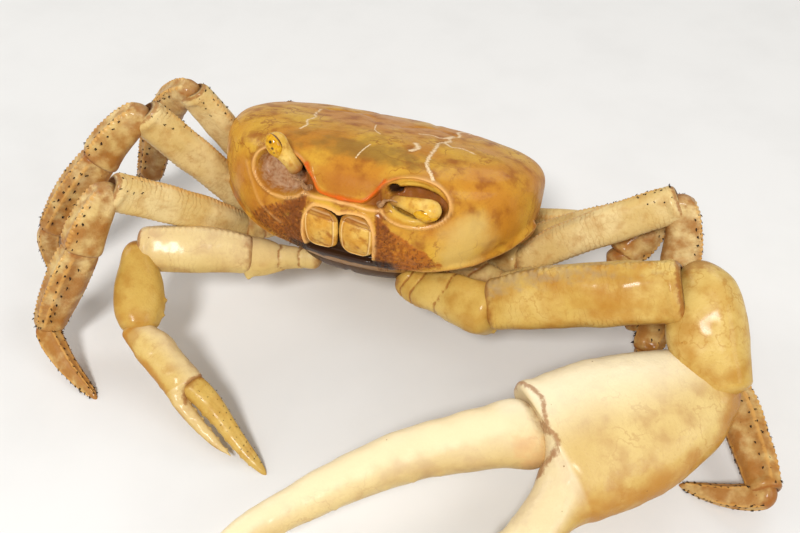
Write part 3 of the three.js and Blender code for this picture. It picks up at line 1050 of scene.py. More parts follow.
@dataclass
class Tuft:
    """Stiff bristles in tufts: bent cones from their roots on a plate."""

    per_tuft: int = 3
    radius: float = 0.2
    steps: int = 4

    HEIGHTS = np.array([-0.25, 0.0, 0.4, 0.75, 1.0])
    WIDTHS = np.array([0.0, 1.0, 0.8, 0.45, 0.0])
    SPREAD = 0.16
    LEAN = 1.1
    BEND = 0.3
    STRAY = 0.3
    PATCH = 0.003  # a bristle's size on the bake map

    def skin(self, roots: Array, out: Array, lean: Array, length: Array, flat: Array,
             seed: int) -> Skin:
        """Cones at the roots: root plus the way times the height, plus a ring that narrows.

        Args:
            roots: Places of the tufts.
            out: Ways out of the shell.
            lean: Ways that the bristles lean towards.
            length: Bristle lengths.
            flat: Places of the roots on the bake map.
            seed: Picks how each bristle strays.

        Returns:
            One skin of all the bristles with their bake map.
        """
        draw = np.random.default_rng(seed)
        roots, out, lean, length, flat = (np.repeat(values, self.per_tuft, axis=0)
                                          for values in (roots, out, lean, length, flat))
        roots = roots + draw.normal(scale=self.SPREAD, size=roots.shape)
        way = unit(out + self.LEAN * lean + draw.normal(scale=self.STRAY, size=out.shape))
        side = unit(np.cross(way, lean + 0.2))
        ring = circles(side, np.cross(way, side), self.steps)
        long = length * draw.uniform(0.65, 1.2, len(length))
        high = self.HEIGHTS[:, None]
        spine = way[:, None] * high + lean[:, None] * self.BEND * high ** 2
        grids = (roots[:, None, None] + (spine * long[:, None, None])[:, :, None]
                 + self.radius * self.WIDTHS[None, :, None, None] * ring[:, None])
        up = np.broadcast_to(0.8 * self.PATCH * high, grids.shape[:3])
        aside = np.broadcast_to(self.PATCH * np.arange(self.steps) / self.steps, grids.shape[:3])
        u, v = (flat[:, None, None, axis] for axis in (0, 1))
        skin = closed_skin(grids, {"u": u + up, "v": v + aside})
        skin.bake = np.stack([skin.marks.pop("u"), skin.marks.pop("v")], -1)
        return skin


def plate_bristles(plates: list[Plate], tuft: Tuft, seed: int) -> Skin | None:
    """Rows of bristles on a limb's plates, each plate's roots in its own strip of the unwrap.

    Args:
        plates: The limb's plates in order.
        tuft: How each tuft is made.
        seed: Picks how the rows stray.

    Returns:
        One skin, or nothing where no plate has bristles.
    """
    draw = np.random.default_rng(seed)
    skins = []
    for order, plate in enumerate(plates):
        for row in plate.form.bristles:
            share = np.linspace(*row.span, row.count) + draw.normal(scale=0.006, size=row.count)
            angle = np.radians(row.angle + draw.normal(scale=4.0, size=row.count))
            roots, out, run = plate.sites(share, angle)
            u, v = (order + 0.05 + 0.9 * share) / len(plates), 0.99 * (angle / TAU % 1.0)
            skins.append(tuft.skin(roots, out, run, np.full(row.count, row.length),
                                   np.stack([u, v], -1), seed + 31 * len(skins)))
    return joined(skins) if skins else None


# ---- Walking legs


class Segment(Enum):
    """Plates of a limb from the body outwards."""

    BASE = "base"
    MERUS = "merus"
    CARPUS = "carpus"
    PROPODUS = "propodus"
    DACTYL = "dactyl"


LEG_FORMS = {
    Segment.BASE: PlateForm(
        (6, 5.6, 4.6, 5, 4.6), (5.4, 5, 4, 4.3, 3.8), domes=(0.12, 0.12), socket=3.0,
        rings=(0.36, 0.66), warm=0.5, relief=0.35, rows=70, steps=52),
    Segment.MERUS: PlateForm(
        (4.2, 5.6, 6.1, 6.3, 6.1), (3.4, 4.3, 4.5, 4.3, 4.1), (0, 0.8, 1, 0.6, 0), (0.06, 0.06),
        0.74, 3.0, 3.0, 2.0, 0.7,
        (Ridge(90, 0.45, 11, 1.5), *faces(Ridge(0, -0.25, 16)), Ridge(262, 0.35, 11, 1.9)),
        bristles=(BristleRow(96, 7, (0.62, 0.97), 0.6), BristleRow(70, 5, (0.8, 0.97), 0.5),
                  BristleRow(20, 4, (0.84, 0.97), 0.45), BristleRow(150, 4, (0.84, 0.97), 0.45)),
        crease=0.75, relief=0.3, rows=130, steps=72),
    Segment.CARPUS: PlateForm(
        (4.2, 5.4, 6.2, 6.4), (3.8, 4.6, 4.9, 4.6), (0, 1, 1, 0), (0.14, 0.1), 0.78, 2.5, 2.6, 1.7,
        0.68, (*faces(Ridge(62, 0.5, 11, 1.6)), Ridge(90, -0.45, 12), *faces(Ridge(0, -0.3, 14))),
        bristles=faces(BristleRow(62, 9, (0.25, 0.92), 0.75), BristleRow(40, 6, (0.3, 0.9), 0.6)),
        crease=0.45, warm=0.7, relief=0.3, rows=80, steps=64),
    Segment.PROPODUS: PlateForm(
        (5.4, 6.2, 5.7, 4.8), (4, 4.4, 4, 3.4), (0, 0.4, 0.4, 0), (0.1, 0.1), 0.76, 3.5, 2.6, 1.6,
        0.66, (*faces(Ridge(64, 0.6, 8, 1.8), Ridge(250, 0.45, 8), Ridge(25, 0.35, 7),
                      Ridge(0, -0.45, 13)), Ridge(90, -0.45, 10)),
        bristles=faces(BristleRow(66, 13, (0.14, 0.95), 0.85), BristleRow(32, 9, (0.2, 0.95), 0.7),
                       BristleRow(8, 8, (0.2, 0.95), 0.6), BristleRow(250, 10, (0.2, 0.95), 0.85)),
        crease=0.35, warm=0.85, relief=0.25, rows=100, steps=64),
    Segment.DACTYL: PlateForm(
        (3.9, 3.7, 3, 2.1, 0.9), (3.2, 3, 2.4, 1.7, 0.8), (0, 1.6, 2.1, 1.5, 0.6), (0.1, 0.06),
        0.85, 3.0, ridges=(*faces(Ridge(45, 0.55, 9), Ridge(225, 0.55, 9)),
                           Ridge(90, 0.4, 8), Ridge(270, 0.4, 8)),
        bristles=(*faces(BristleRow(45, 15, (0.1, 0.93), 0.95)),
                  BristleRow(90, 12, (0.15, 0.9), 0.8), BristleRow(225, 13, (0.12, 0.93), 0.9),
                  BristleRow(270, 11, (0.15, 0.9), 0.8), BristleRow(315, 13, (0.12, 0.93), 0.9)),
        warm=0.95, relief=0.1, rows=90, steps=60),
}


@dataclass
class WalkingLeg:
    """A walking leg from its joints: coxa, ischium end, knee, carpus end, ankle and tip."""

    name: str
    joints: tuple[Triple, ...]
    girth: float
    seed: int

    def plates(self) -> list[Plate]:
        """The five plates, each reaching a little back into the socket before it.

        Returns:
            The plates from the body outwards.
        """
        joints = np.asarray(self.joints, dtype=float)
        bend = unit(np.cross(joints[2] - joints[1], joints[4] - joints[2]))
        plates = []
        for order, segment in enumerate(Segment):
            form = LEG_FORMS[segment]
            axis = unit(joints[order + 1] - joints[order])
            plates.append(Plate(form, joints[order] - axis * form.nesting, joints[order + 1],
                                np.cross(axis, bend), self.girth, self.seed + order))
        return plates

    def build(self, shell: Material, bristle: Material) -> None:
        """Make the five plates and the leg's bristles.

        Args:
            shell: Finish of the plates.
            bristle: Finish of the bristles.
        """
        plates = self.plates()
        for segment, plate in zip(Segment, plates):
            node = f"{self.name}_{segment.value}"
            add_piece(f"{node}_shell", plate.skin(), shell, (node,))
        tufts = plate_bristles(plates, Tuft(), self.seed)
        add_piece(f"{self.name}_bristles", tufts, bristle)


LEG_GIRTH = {2: 1.02, 3: 1.0, 4: 0.95, 5: 0.78}
LEG_JOINTS: dict[tuple[int, Side], tuple[Triple, ...]] = {
    (2, Side.RIGHT): (
        (-26, -9, 27), (-44, -24, 30), (-72, -54, 62), (-80, -65, 43), (-94, -76, 13),
        (-69, -89, 0)),
    (3, Side.RIGHT): (
        (-27, -1, 23), (-46, -12, 28), (-73, -28, 74), (-87, -38, 58), (-106, -49, 31),
        (-108, -49, 0)),
    (4, Side.RIGHT): (
        (-26, 8, 19), (-44, 3, 23), (-67, -7, 71), (-84, -1, 54), (-97, -1, 22), (-111, 15, 0)),
    (5, Side.RIGHT): (
        (-21, 17, 17), (-33, 25, 19), (-68, 32, 26), (-74, 47, 17), (-78, 67, 6), (-80, 92, 0)),
    (2, Side.LEFT): (
        (25, -11, 27), (48, -16, 25), (105, -12, 36), (126, -24, 15), (142, -57, 9), (118, -56, 0)),
    (3, Side.LEFT): (
        (27, 0, 23), (52, -4, 27), (98, 12, 54), (103, 5, 34), (99, -13, 8), (104, -41, 0)),
    (4, Side.LEFT): (
        (26, 8, 19), (48, 8, 22), (93, 21, 41), (84, 9, 28), (93, 2, 5), (115, 6, 0)),
    (5, Side.LEFT): (
        (21, 17, 17), (33, 25, 19), (76, 31, 24), (86, 38, 15), (92, 60, 5), (99, 86, 0)),
}


# ---- Claw legs


@dataclass(frozen=True)
class Knob:
    """A rounded boss on both faces of a palm: its place in the claw's plane, radius and height."""

    place: Pair
    radius: float
    height: float


@dataclass(frozen=True)
class HandForm:
    """Palm and fixed finger in the claw's plane, as pairs of reach and rise.

    over and under are the two outlines from the wrist to the fixed finger's tip, point for
    point, and half is the half thickness at each pair. rim is the raised brown seam where the
    moving finger meets the palm, and palm_share is the palm's share of the run.
    """

    over: Path
    under: Path
    half: Stations
    teeth: Teeth
    palm_share: float
    knobs: tuple[Knob, ...]
    rim: Path
    cream: float = 1.0
    square: float = 0.8
    relief: float = 0.35
    rows: int = 300
    steps: int = 120


@dataclass
class Claw:
    """A claw leg: base, merus, carpus, palm with its fixed finger, and the moving finger.

    The palm's plane starts at the wrist, reaches towards palm_end and faces face. Each part of
    the limb is a form, its two ends and the way its upper side looks.
    """

    side: Side
    wrist: Triple
    palm_end: Triple
    face: Triple
    limb: dict[str, tuple[PlateForm, Triple, Triple, Triple]]
    hand: HandForm
    finger: PlateForm
    finger_root: Pair
    finger_tip: Pair
    seed: int

    SEAM_WIDTH = 0.8
    SEAM_HEIGHT = 0.35
    PORE_DEPTH = 0.09

    def plane(self) -> tuple[Array, Array, Array, Array]:
        """The palm's plane.

        Returns:
            Origin, and the reach, rise and outward directions.
        """
        origin, face = np.asarray(self.wrist, dtype=float), np.asarray(self.face)
        reach = unit(np.asarray(self.palm_end) - origin)
        outward = unit(face - reach * (face @ reach))
        return origin, reach, np.cross(reach, outward) * self.side.value, outward

    def bite(self, share: Array, run: Array, half: Array, angle: Array) -> Array:
        """Teeth of the fixed finger: bells along the run and across its biting edge.

        Args:
            share: Share of the run at each rib.
            run: Length along the ribs' middles.
            half: Half thickness at each rib.
            angle: Angles round a rib.

        Returns:
            Their height as (ribs, steps).
        """
        teeth = self.hand.teeth
        bite = np.zeros((len(share), len(angle)))
        for place in np.linspace(*teeth.span, teeth.count):
            size = teeth.radius * (1.35 - 0.7 * place)
            lengthways = run[:, None] - np.interp(place, share, run)
            across = np.radians(gap_round(angle, teeth.angle)) * np.interp(place, share, half)
            bite += teeth.height * size * bell(lengthways, 0.9 * size) * bell(across, 0.9 * size)
        return bite

    def hand_skin(self) -> Skin:
        """Palm and fixed finger as one run of ribs between its two outlines.

        A point is the middle of the outlines' pair, plus half the pair's difference times the
        sine's share, plus the outward direction times the half thickness times the cosine's.

        Returns:
            The closed skin.
        """
        form = self.hand
        origin, reach, rise, outward = self.plane()
        ladder = np.stack([reach, rise])
        share = np.linspace(0.0, 1.0, form.rows)
        over, under, half = (along(edge, share) for edge in (form.over, form.under, form.half))
        middle, spread = (over + under) / 2.0, (over - under) / 2.0
        angle = round_turn(form.steps)
        up, across = (signed_power(wave(angle), form.square) for wave in (np.sin, np.cos))
        shrink = dome(share, 0.05) * dome(1.0 - share, 0.015)
        points = (origin + (middle @ ladder)[:, None]
                  + (up[None, :, None] * (spread * shrink[:, None])[:, None]) @ ladder
                  + (across * (half * shrink)[:, None])[..., None] * outward)
        out = unit(across[None, :, None] * outward
                   + (up[None, :, None] * unit(spread)[:, None]) @ ladder)
        run = np.concatenate([[0.0], np.cumsum(np.linalg.norm(np.diff(middle, axis=0), axis=1))])
        flat = (points - origin) @ ladder.T
        bite = self.bite(share, run, half, angle)
        seam = nearness(flat, form.rim, self.SEAM_WIDTH)
        knobs = sum(knob.height * bell(np.linalg.norm(flat - knob.place, axis=-1), knob.radius)
                    for knob in form.knobs)
        hills = form.relief * (0.8 * swelling(points, 0.12 * run[-1], self.seed)
                               + 0.5 * swelling(points, 7.0, self.seed + 5, 24))
        pores = self.PORE_DEPTH * swelling(points, 2.6, self.seed + 9)
        lift = bite + hills + pores + knobs + self.SEAM_HEIGHT * seam
        points = points + (lift * smooth(shrink)[:, None])[..., None] * out
        size = np.ptp(np.asarray(form.over)[:, 1])
        palm = smooth((form.palm_share - share) / 0.03)[:, None]
        low, high = smooth(-2.0 * up - 1.0), smooth(up + 0.25)
        wrist = bell(flat[..., 0] + 0.05 * size, 0.1 * size)
        marks = {
            "root": bell(run, 0.05 * size)[:, None],
            # brown along the hand's lower edge and at the wrist is painted shade, over the shell's
            # own orange-brown
            "warm": low * mix(0.4, 0.8, palm) + 0.9 * wrist,
            # cream, brightest towards the upper outline as painted light, and kept off the painted
            # shade
            "cream": form.cream * mix(0.5, 0.15 + 0.65 * high, palm) * (1.0 - low)
            * (1.0 - 0.8 * wrist),
            "edge": seam,
            "ivory": np.minimum(1.4 * bite, 0.9),
            "crease": 0.2 * palm,
        }
        return one_skin(points, held(marks) | {"run": run[:, None]})

    def finger_plate(self) -> Plate:
        """The moving finger.

        Returns:
            A plate whose axis and height lie in the palm's plane.
        """
        origin, reach, rise, _ = self.plane()
        root, tip = (origin + reach * s + rise * h for s, h in (self.finger_root, self.finger_tip))
        return Plate(self.finger, root, tip, rise, seed=self.seed + 3)

    def build(self, shell: Material, bristle: Material) -> None:
        """Make the limb's plates, the hand and the finger.

        Args:
            shell: Finish of the plates.
            bristle: Finish of the few bristles.
        """
        node = f"claw_{self.side.word}"
        plates = []
        for order, (form, *ends) in enumerate(self.limb.values()):
            start, end, up = (np.asarray(place, dtype=float) for place in ends)
            plates.append(Plate(form, start, end, up, seed=self.seed + 11 + order))
        plates.append(self.finger_plate())
        skins = [plate.skin() for plate in plates[:-1]] + [self.hand_skin(), plates[-1].skin()]
        for part, skin in zip((*self.limb, "palm", "finger"), skins):
            add_piece(f"{node}_{part}_shell", skin, shell, (f"{node}_{part}",))
        tufts = plate_bristles(plates, Tuft(per_tuft=2, radius=0.14), self.seed)
        add_piece(f"{node}_bristles", tufts, bristle)


GREAT_CLAW = Claw(
    Side.LEFT, (122, -41, 27), (73, -71, 24), (0.116, -0.287, 0.951), {
        "base": (PlateForm(
            (5.6, 6.8, 7.6, 8.4, 8.0), (5.6, 6.4, 7.2, 8, 7.4), (0, 0.4, 0.2, 0, 0.4), (0.14, 0.16),
            ridges=(Ridge(250, 0.9, 16, span=(0.3, 1.0)), Ridge(70, 0.7, 14), Ridge(160, 0.8, 12),
                    Ridge(205, -0.6, 14)),
            teeth=(Teeth(256, (0.96, 0.96), 1, 2.0, 1.3), Teeth(200, (0.5, 0.7), 2, 2.2, 0.4)),
            rings=(0.16, 0.27, 0.52), warm=0.35, relief=0.8, rows=130, steps=100),
            (15, -27, 27), (53.5, -35, 31.3), (-0.3, 0.6, 0.7)),
        "merus": (PlateForm(
            (8, 9.6, 10, 10, 9.8), (7, 8.5, 9, 8.8, 8), (2, 2.6, 2, 1, 0), (0.06, 0.05), 0.7,
            socket=4.0, shoulder=2.6, opening=0.72,
            ridges=(Ridge(48, 0.55, 9, 2.4), Ridge(132, 0.5, 9, 2.4), Ridge(90, -0.35, 16),
                    Ridge(8, 0.35, 14), Ridge(330, -0.3, 12)),
            crease=0.9, warm=0.5, dirt=0.8, relief=0.5, rows=180, steps=110),
            (48, -35, 31), (105, -25, 51), (-0.35, 0.65, 0.67)),
        "carpus": (PlateForm(
            (6.8, 10.2, 11.8, 10.8, 8.6), (6.6, 9.2, 10.4, 10, 8.6), (-0.6, -0.4, -1.2, -1, 0),
            (0.2, 0.1), ridges=(Ridge(250, 0.5, 14), Ridge(30, 0.35, 16)),
            teeth=(Teeth(262, (0.93, 0.93), 1, 2.4, 0.5), Teeth(200, (0.94, 0.94), 1, 2, 0.5)),
            crease=0.3, warm=0.4, relief=0.55, rows=130, steps=110),
            (107, -16, 56), (123, -43, 29), (0.91, 0.23, 0.33)),
    },
    HandForm(
        ((-2.4, 9.5), (3.2, 14.6), (10.2, 16.4), (23.4, 17.8), (36.4, 18.2), (47, 17.2), (54, 15.6),
         (58.6, 13.6), (56.6, 7), (56, -1), (57, -9.6), (61.5, -15), (67, -20.4), (74, -25.6),
         (82, -30.9), (90, -37), (97.9, -42.8), (106, -48.5), (114.2, -53.9), (123, -60),
         (130, -66)),
        ((-8.0, -2.5), (-2, -7.5), (6.0, -15.0), (19.8, -22.4), (32.4, -25.8), (42, -27.2),
         (46, -27.6), (49, -27.6), (51.5, -28.2), (54, -29.1), (57, -30.8), (60.5, -33.2),
         (64.5, -36), (69, -39.2), (75, -43), (83, -47.8), (91.8, -52.7), (101, -56.8),
         (110, -60.7), (120, -63.9), (129, -66.6)),
        (7.6, 9.8, 11.4, 13, 13, 12.6, 12.0, 11.2, 10.4, 9.6, 8.8, 8, 7.5, 7.2, 6.8, 6.3, 5.6, 4.7,
         3.6, 2.3, 1.0),
        Teeth(90, (0.66, 0.93), 7, 1.7, 0.55), 0.36,
        (Knob((57.0, 13.4), 3.0, 1.1), Knob((58.0, -11.8), 2.4, 1.3), Knob((55.5, -7.0), 1.7, 0.8),
         Knob((3.0, 4.0), 3.2, 0.9), Knob((1.0, -3.5), 2.4, 0.8), Knob((46.0, -24.0), 4.0, 0.5)),
        ((58.4, 13.8), (54.4, 7.0), (55.4, -1.4), (53.6, -6.4), (55.6, -10.0), (60.0, -14.0))),
    PlateForm(
        (10.2, 9.2, 7.6, 6.6, 5.4, 4, 1.2), (8.2, 8, 7, 6.2, 5, 3.6, 1.2),
        (0, 4, 8.9, 10.7, 10.7, 9.1, 0), (0.06, 0.04),
        ridges=(Ridge(300, 0.25, 16, span=(0.16, 0.9)), Ridge(0, -0.25, 12, span=(0.12, 0.8))),
        teeth=(Teeth(270, (0.3, 0.84), 9, 1.3, 0.45), Teeth(278, (0.08, 0.08), 1, 5.6, 0.36),
               Teeth(20, (0.075, 0.075), 1, 3.4, 0.2)),
        bristles=(BristleRow(20, 9, (0.35, 0.95), 0.12), BristleRow(-20, 11, (0.3, 0.97), 0.12)),
        warm=-0.95, ivory=0.9, relief=0.3, rows=240, steps=96),
    (53.5, 2.5), (164, -27), 40)

SMALL_CLAW = Claw(
    Side.RIGHT, (-58, -75, 23), (-36, -83, 14), (0.216, -0.42, 0.881), {
        "base": (PlateForm(
            (4.2, 4, 4.4, 6.2, 6.6), (4.4, 4.2, 4.6, 5.6, 6), domes=(0.12, 0.08),
            ridges=(Ridge(262, 0.6, 15, span=(0.4, 1.0)),),
            teeth=(Teeth(264, (0.9, 0.9), 1, 2.0, 0.9),),
            rings=(0.26, 0.5), warm=-0.3, relief=0.5, rows=90, steps=72),
            (-13, -26, 27), (-38, -37.6, 30.2), (-0.2, 0.65, 0.72)),
        "merus": (PlateForm(
            (6.2, 7.2, 7.8, 7.6, 7.4), (5.6, 6.2, 6.5, 6.4, 6), (0.5, 1.2, 1.6, 1, 0), (0.08, 0.06),
            0.72, socket=3.5, shoulder=2.2, opening=0.68,
            ridges=(*faces(Ridge(52, 0.4, 10, 2)), Ridge(262, 0.5, 12)),
            crease=0.5, relief=0.35, warm=-0.4, rows=140, steps=90),
            (-33, -36, 30), (-69, -51, 35), (-0.185, 0.669, 0.72)),
        "carpus": (PlateForm(
            (4.2, 6, 7.7, 7.8, 5), (4.4, 5.8, 6.4, 6, 4.8), domes=(0.16, 0.1),
            ridges=(Ridge(84, 0.5, 13),), teeth=(Teeth(84, (0.66, 0.82), 2, 1.0, 1.1),),
            crease=0.25, warm=0.3, relief=0.3, rows=110, steps=90),
            (-70, -49.5, 37), (-56.4, -75.4, 22.4), (0.82, 0.56, -0.13)),
    },
    HandForm(
        ((-3, 3.1), (0, 4.3), (3.1, 5.3), (9.2, 6.8), (15.3, 6.1), (21.4, 5.8), (24.5, 5.4),
         (26, 4.4), (26, 2.6), (25.8, 0), (26.6, -1.9), (29, -3), (35.8, -3.9), (43.7, -4.6),
         (51.6, -5.3)),
        ((-3, -3.7), (0, -4.4), (3.1, -4.9), (9.2, -5.8), (15.3, -6.2), (20.4, -6.5), (22, -6.8),
         (23, -7), (24, -7.2), (25, -7.4), (26.5, -7.7), (29, -7.9), (35.6, -8.1), (43.5, -7.6),
         (51.4, -5.7)),
        (3.4, 4, 4.6, 5.1, 5, 4.6, 4.5, 4.3, 4, 3.6, 3.2, 2.9, 2.3, 1.6, 0.5),
        Teeth(90, (0.72, 0.97), 8, 0.85, 1.0), 0.5,
        (Knob((25.6, 4.4), 1.3, 0.4), Knob((26.4, -3.2), 1.2, 0.5)),
        ((26.6, 5.6), (25.6, 2.6), (25.8, -0.4), (27.4, -3.0), (29.4, -4.6)),
        cream=0.4, relief=0.25, rows=200, steps=80),
    PlateForm(
        (4.4, 4.0, 3.4, 2.8, 2.2, 0.9), (3.6, 3.2, 2.7, 2.3, 1.8, 0.8), (0.4, 1.2, 1, 0.3, 0, 0),
        (0.08, 0.06), ridges=(Ridge(20, -0.2, 12, span=(0.1, 0.9)), Ridge(60, 0.15, 12)),
        teeth=(Teeth(270, (0.3, 0.85), 7, 0.7),),
        bristles=(BristleRow(84, 12, (0.15, 0.9), 0.2), BristleRow(40, 12, (0.15, 0.9), 0.2),
                  BristleRow(8, 10, (0.15, 0.85), 0.2), BristleRow(345, 8, (0.2, 0.8), 0.2)),
        warm=0.15, relief=0.1, rows=160, steps=72),
    (23.8, 0.4), (63.4, -1.8), 60)


# ---- Carapace and face


@dataclass(frozen=True)
class Line:
    """A drawn line of the shell: path, half width and height in millimetres, and its mark.

    The path is in x and z on the face and in x and y on top, in body axes. Of the lines that
    aren't on both sides, those of the face are drawn for the right side, turned over.
    """

    path: Path
    width: float
    rise: float
    mark: str
    both_sides: bool = True


FRONT_RIM = Line(((-0.6, 6.2), (4, 6.2), (7.5, 6.9), (10.1, 9.6), (11.4, 11.6), (12.8, 13.8)),
                 0.62, 1.1, "rim")
FACE_LINES = (
    FRONT_RIM,
    Line(((-0.5, 4.7), (4.2, 4.6), (8.5, 4.2), (12.9, 4.3)), 0.5, 0.45, "lip"),
    Line(((-0.2, 1.0), (1.2, 1.4), (2.9, 1.9), (6.1, 2.1), (8.8, 1.6), (10.5, -0.4), (11.6, -3.2),
          (12.0, -6.5), (12.0, -9.4), (11.2, -12.3)), 0.6, 0.8, "lip"),
    Line(((36.2, 8.6), (32.3, 1.7), (29, -3.5), (24.7, -6.3), (20.7, -7.9)), 0.45, 0.3, "ridge",
         False),
)
SCRATCHES = tuple(Line(path, width, rise, "scratch", False) for width, rise, path in (
    (0.62, -0.12, ((22.6, 12), (21.4, 6.5), (23.4, 1.0), (21.2, -4.5), (22.9, -9.5), (20.6, -14.6),
                   (21.2, -19.5), (21.6, -27.1), (22.6, -33), (26.4, -37.8))),
    (0.7, -0.12, ((25.4, 20), (24.6, 16), (26.2, 12.5), (24.8, 9))),
    (0.45, -0.08, ((22.3, -4), (19.4, -8.2), (16.0, -6.8), (12, -8.6))),
    (0.45, -0.08, ((22.0, -12), (25, -15.6), (28.4, -14.2), (33, -16))),
    (0.9, -0.08, ((14.5, -20.0), (16.5, -23.5), (15.2, -27.0))),
    (0.45, -0.1, ((-22, -28), (-21.5, -23.5), (-23.4, -19.3), (-22.6, -14.6), (-24.4, -10.6),
                  (-26, -2))),
    (0.25, -0.05, ((-3, -9), (-1.1, -15.5), (2, -19))),
    (0.28, -0.06, ((1.0, -37), (1.4, -33.4), (2.4, -29))),
))
TOP_LINES = (
    *SCRATCHES,
    Line(((9, 24), (12, 12), (16, 4), (23, 0)), 1.5, -0.4, "groove"),
    Line(((5, -4), (9, 2), (14, 4)), 1.2, -0.3, "groove"),
)


def profile(path: Path, place: Array) -> Array:
    """Straight stretches between the path's corners, read at each place."""
    return np.interp(place, *np.transpose(path))


class FaceView:
    """The shell's points as its face needs them.

    wide is the distance from the middle line. front and left are 1 on the face and on the left.
    ring is 1 on the eye sockets' outline and less inside, and bed is the same for the hollow
    that the left eyestalk lies in.
    """

    def __init__(self, shell: "Carapace", local: Array) -> None:
        """Work the measures out.

        Args:
            shell: The carapace whose places they are taken from.
            local: Points of its dome in body axes.
        """
        self.local = local
        self.x, self.y, self.z = np.moveaxis(local, -1, 0)
        self.wide = np.abs(self.x)
        self.front = smooth((-self.y - 29.0) / 6.0) * smooth((20.0 - self.z) / 2.0)
        self.left = smooth(self.x / 2.0)
        self.ring = self.away(shell.socket, shell.socket_radii)
        slope = 0.1 * (self.wide - shell.bed[0])
        self.bed = np.hypot((self.wide - shell.bed[0]) / shell.bed_radii[0],
                            (self.z - shell.bed[1] + slope) / shell.bed_radii[1])

    def away(self, centre: Pair, radii: Pair = (1.0, 1.0)) -> Array:
        """Distance from a place of both sides, in radii."""
        return np.hypot((self.wide - centre[0]) / radii[0], (self.z - centre[1]) / radii[1])


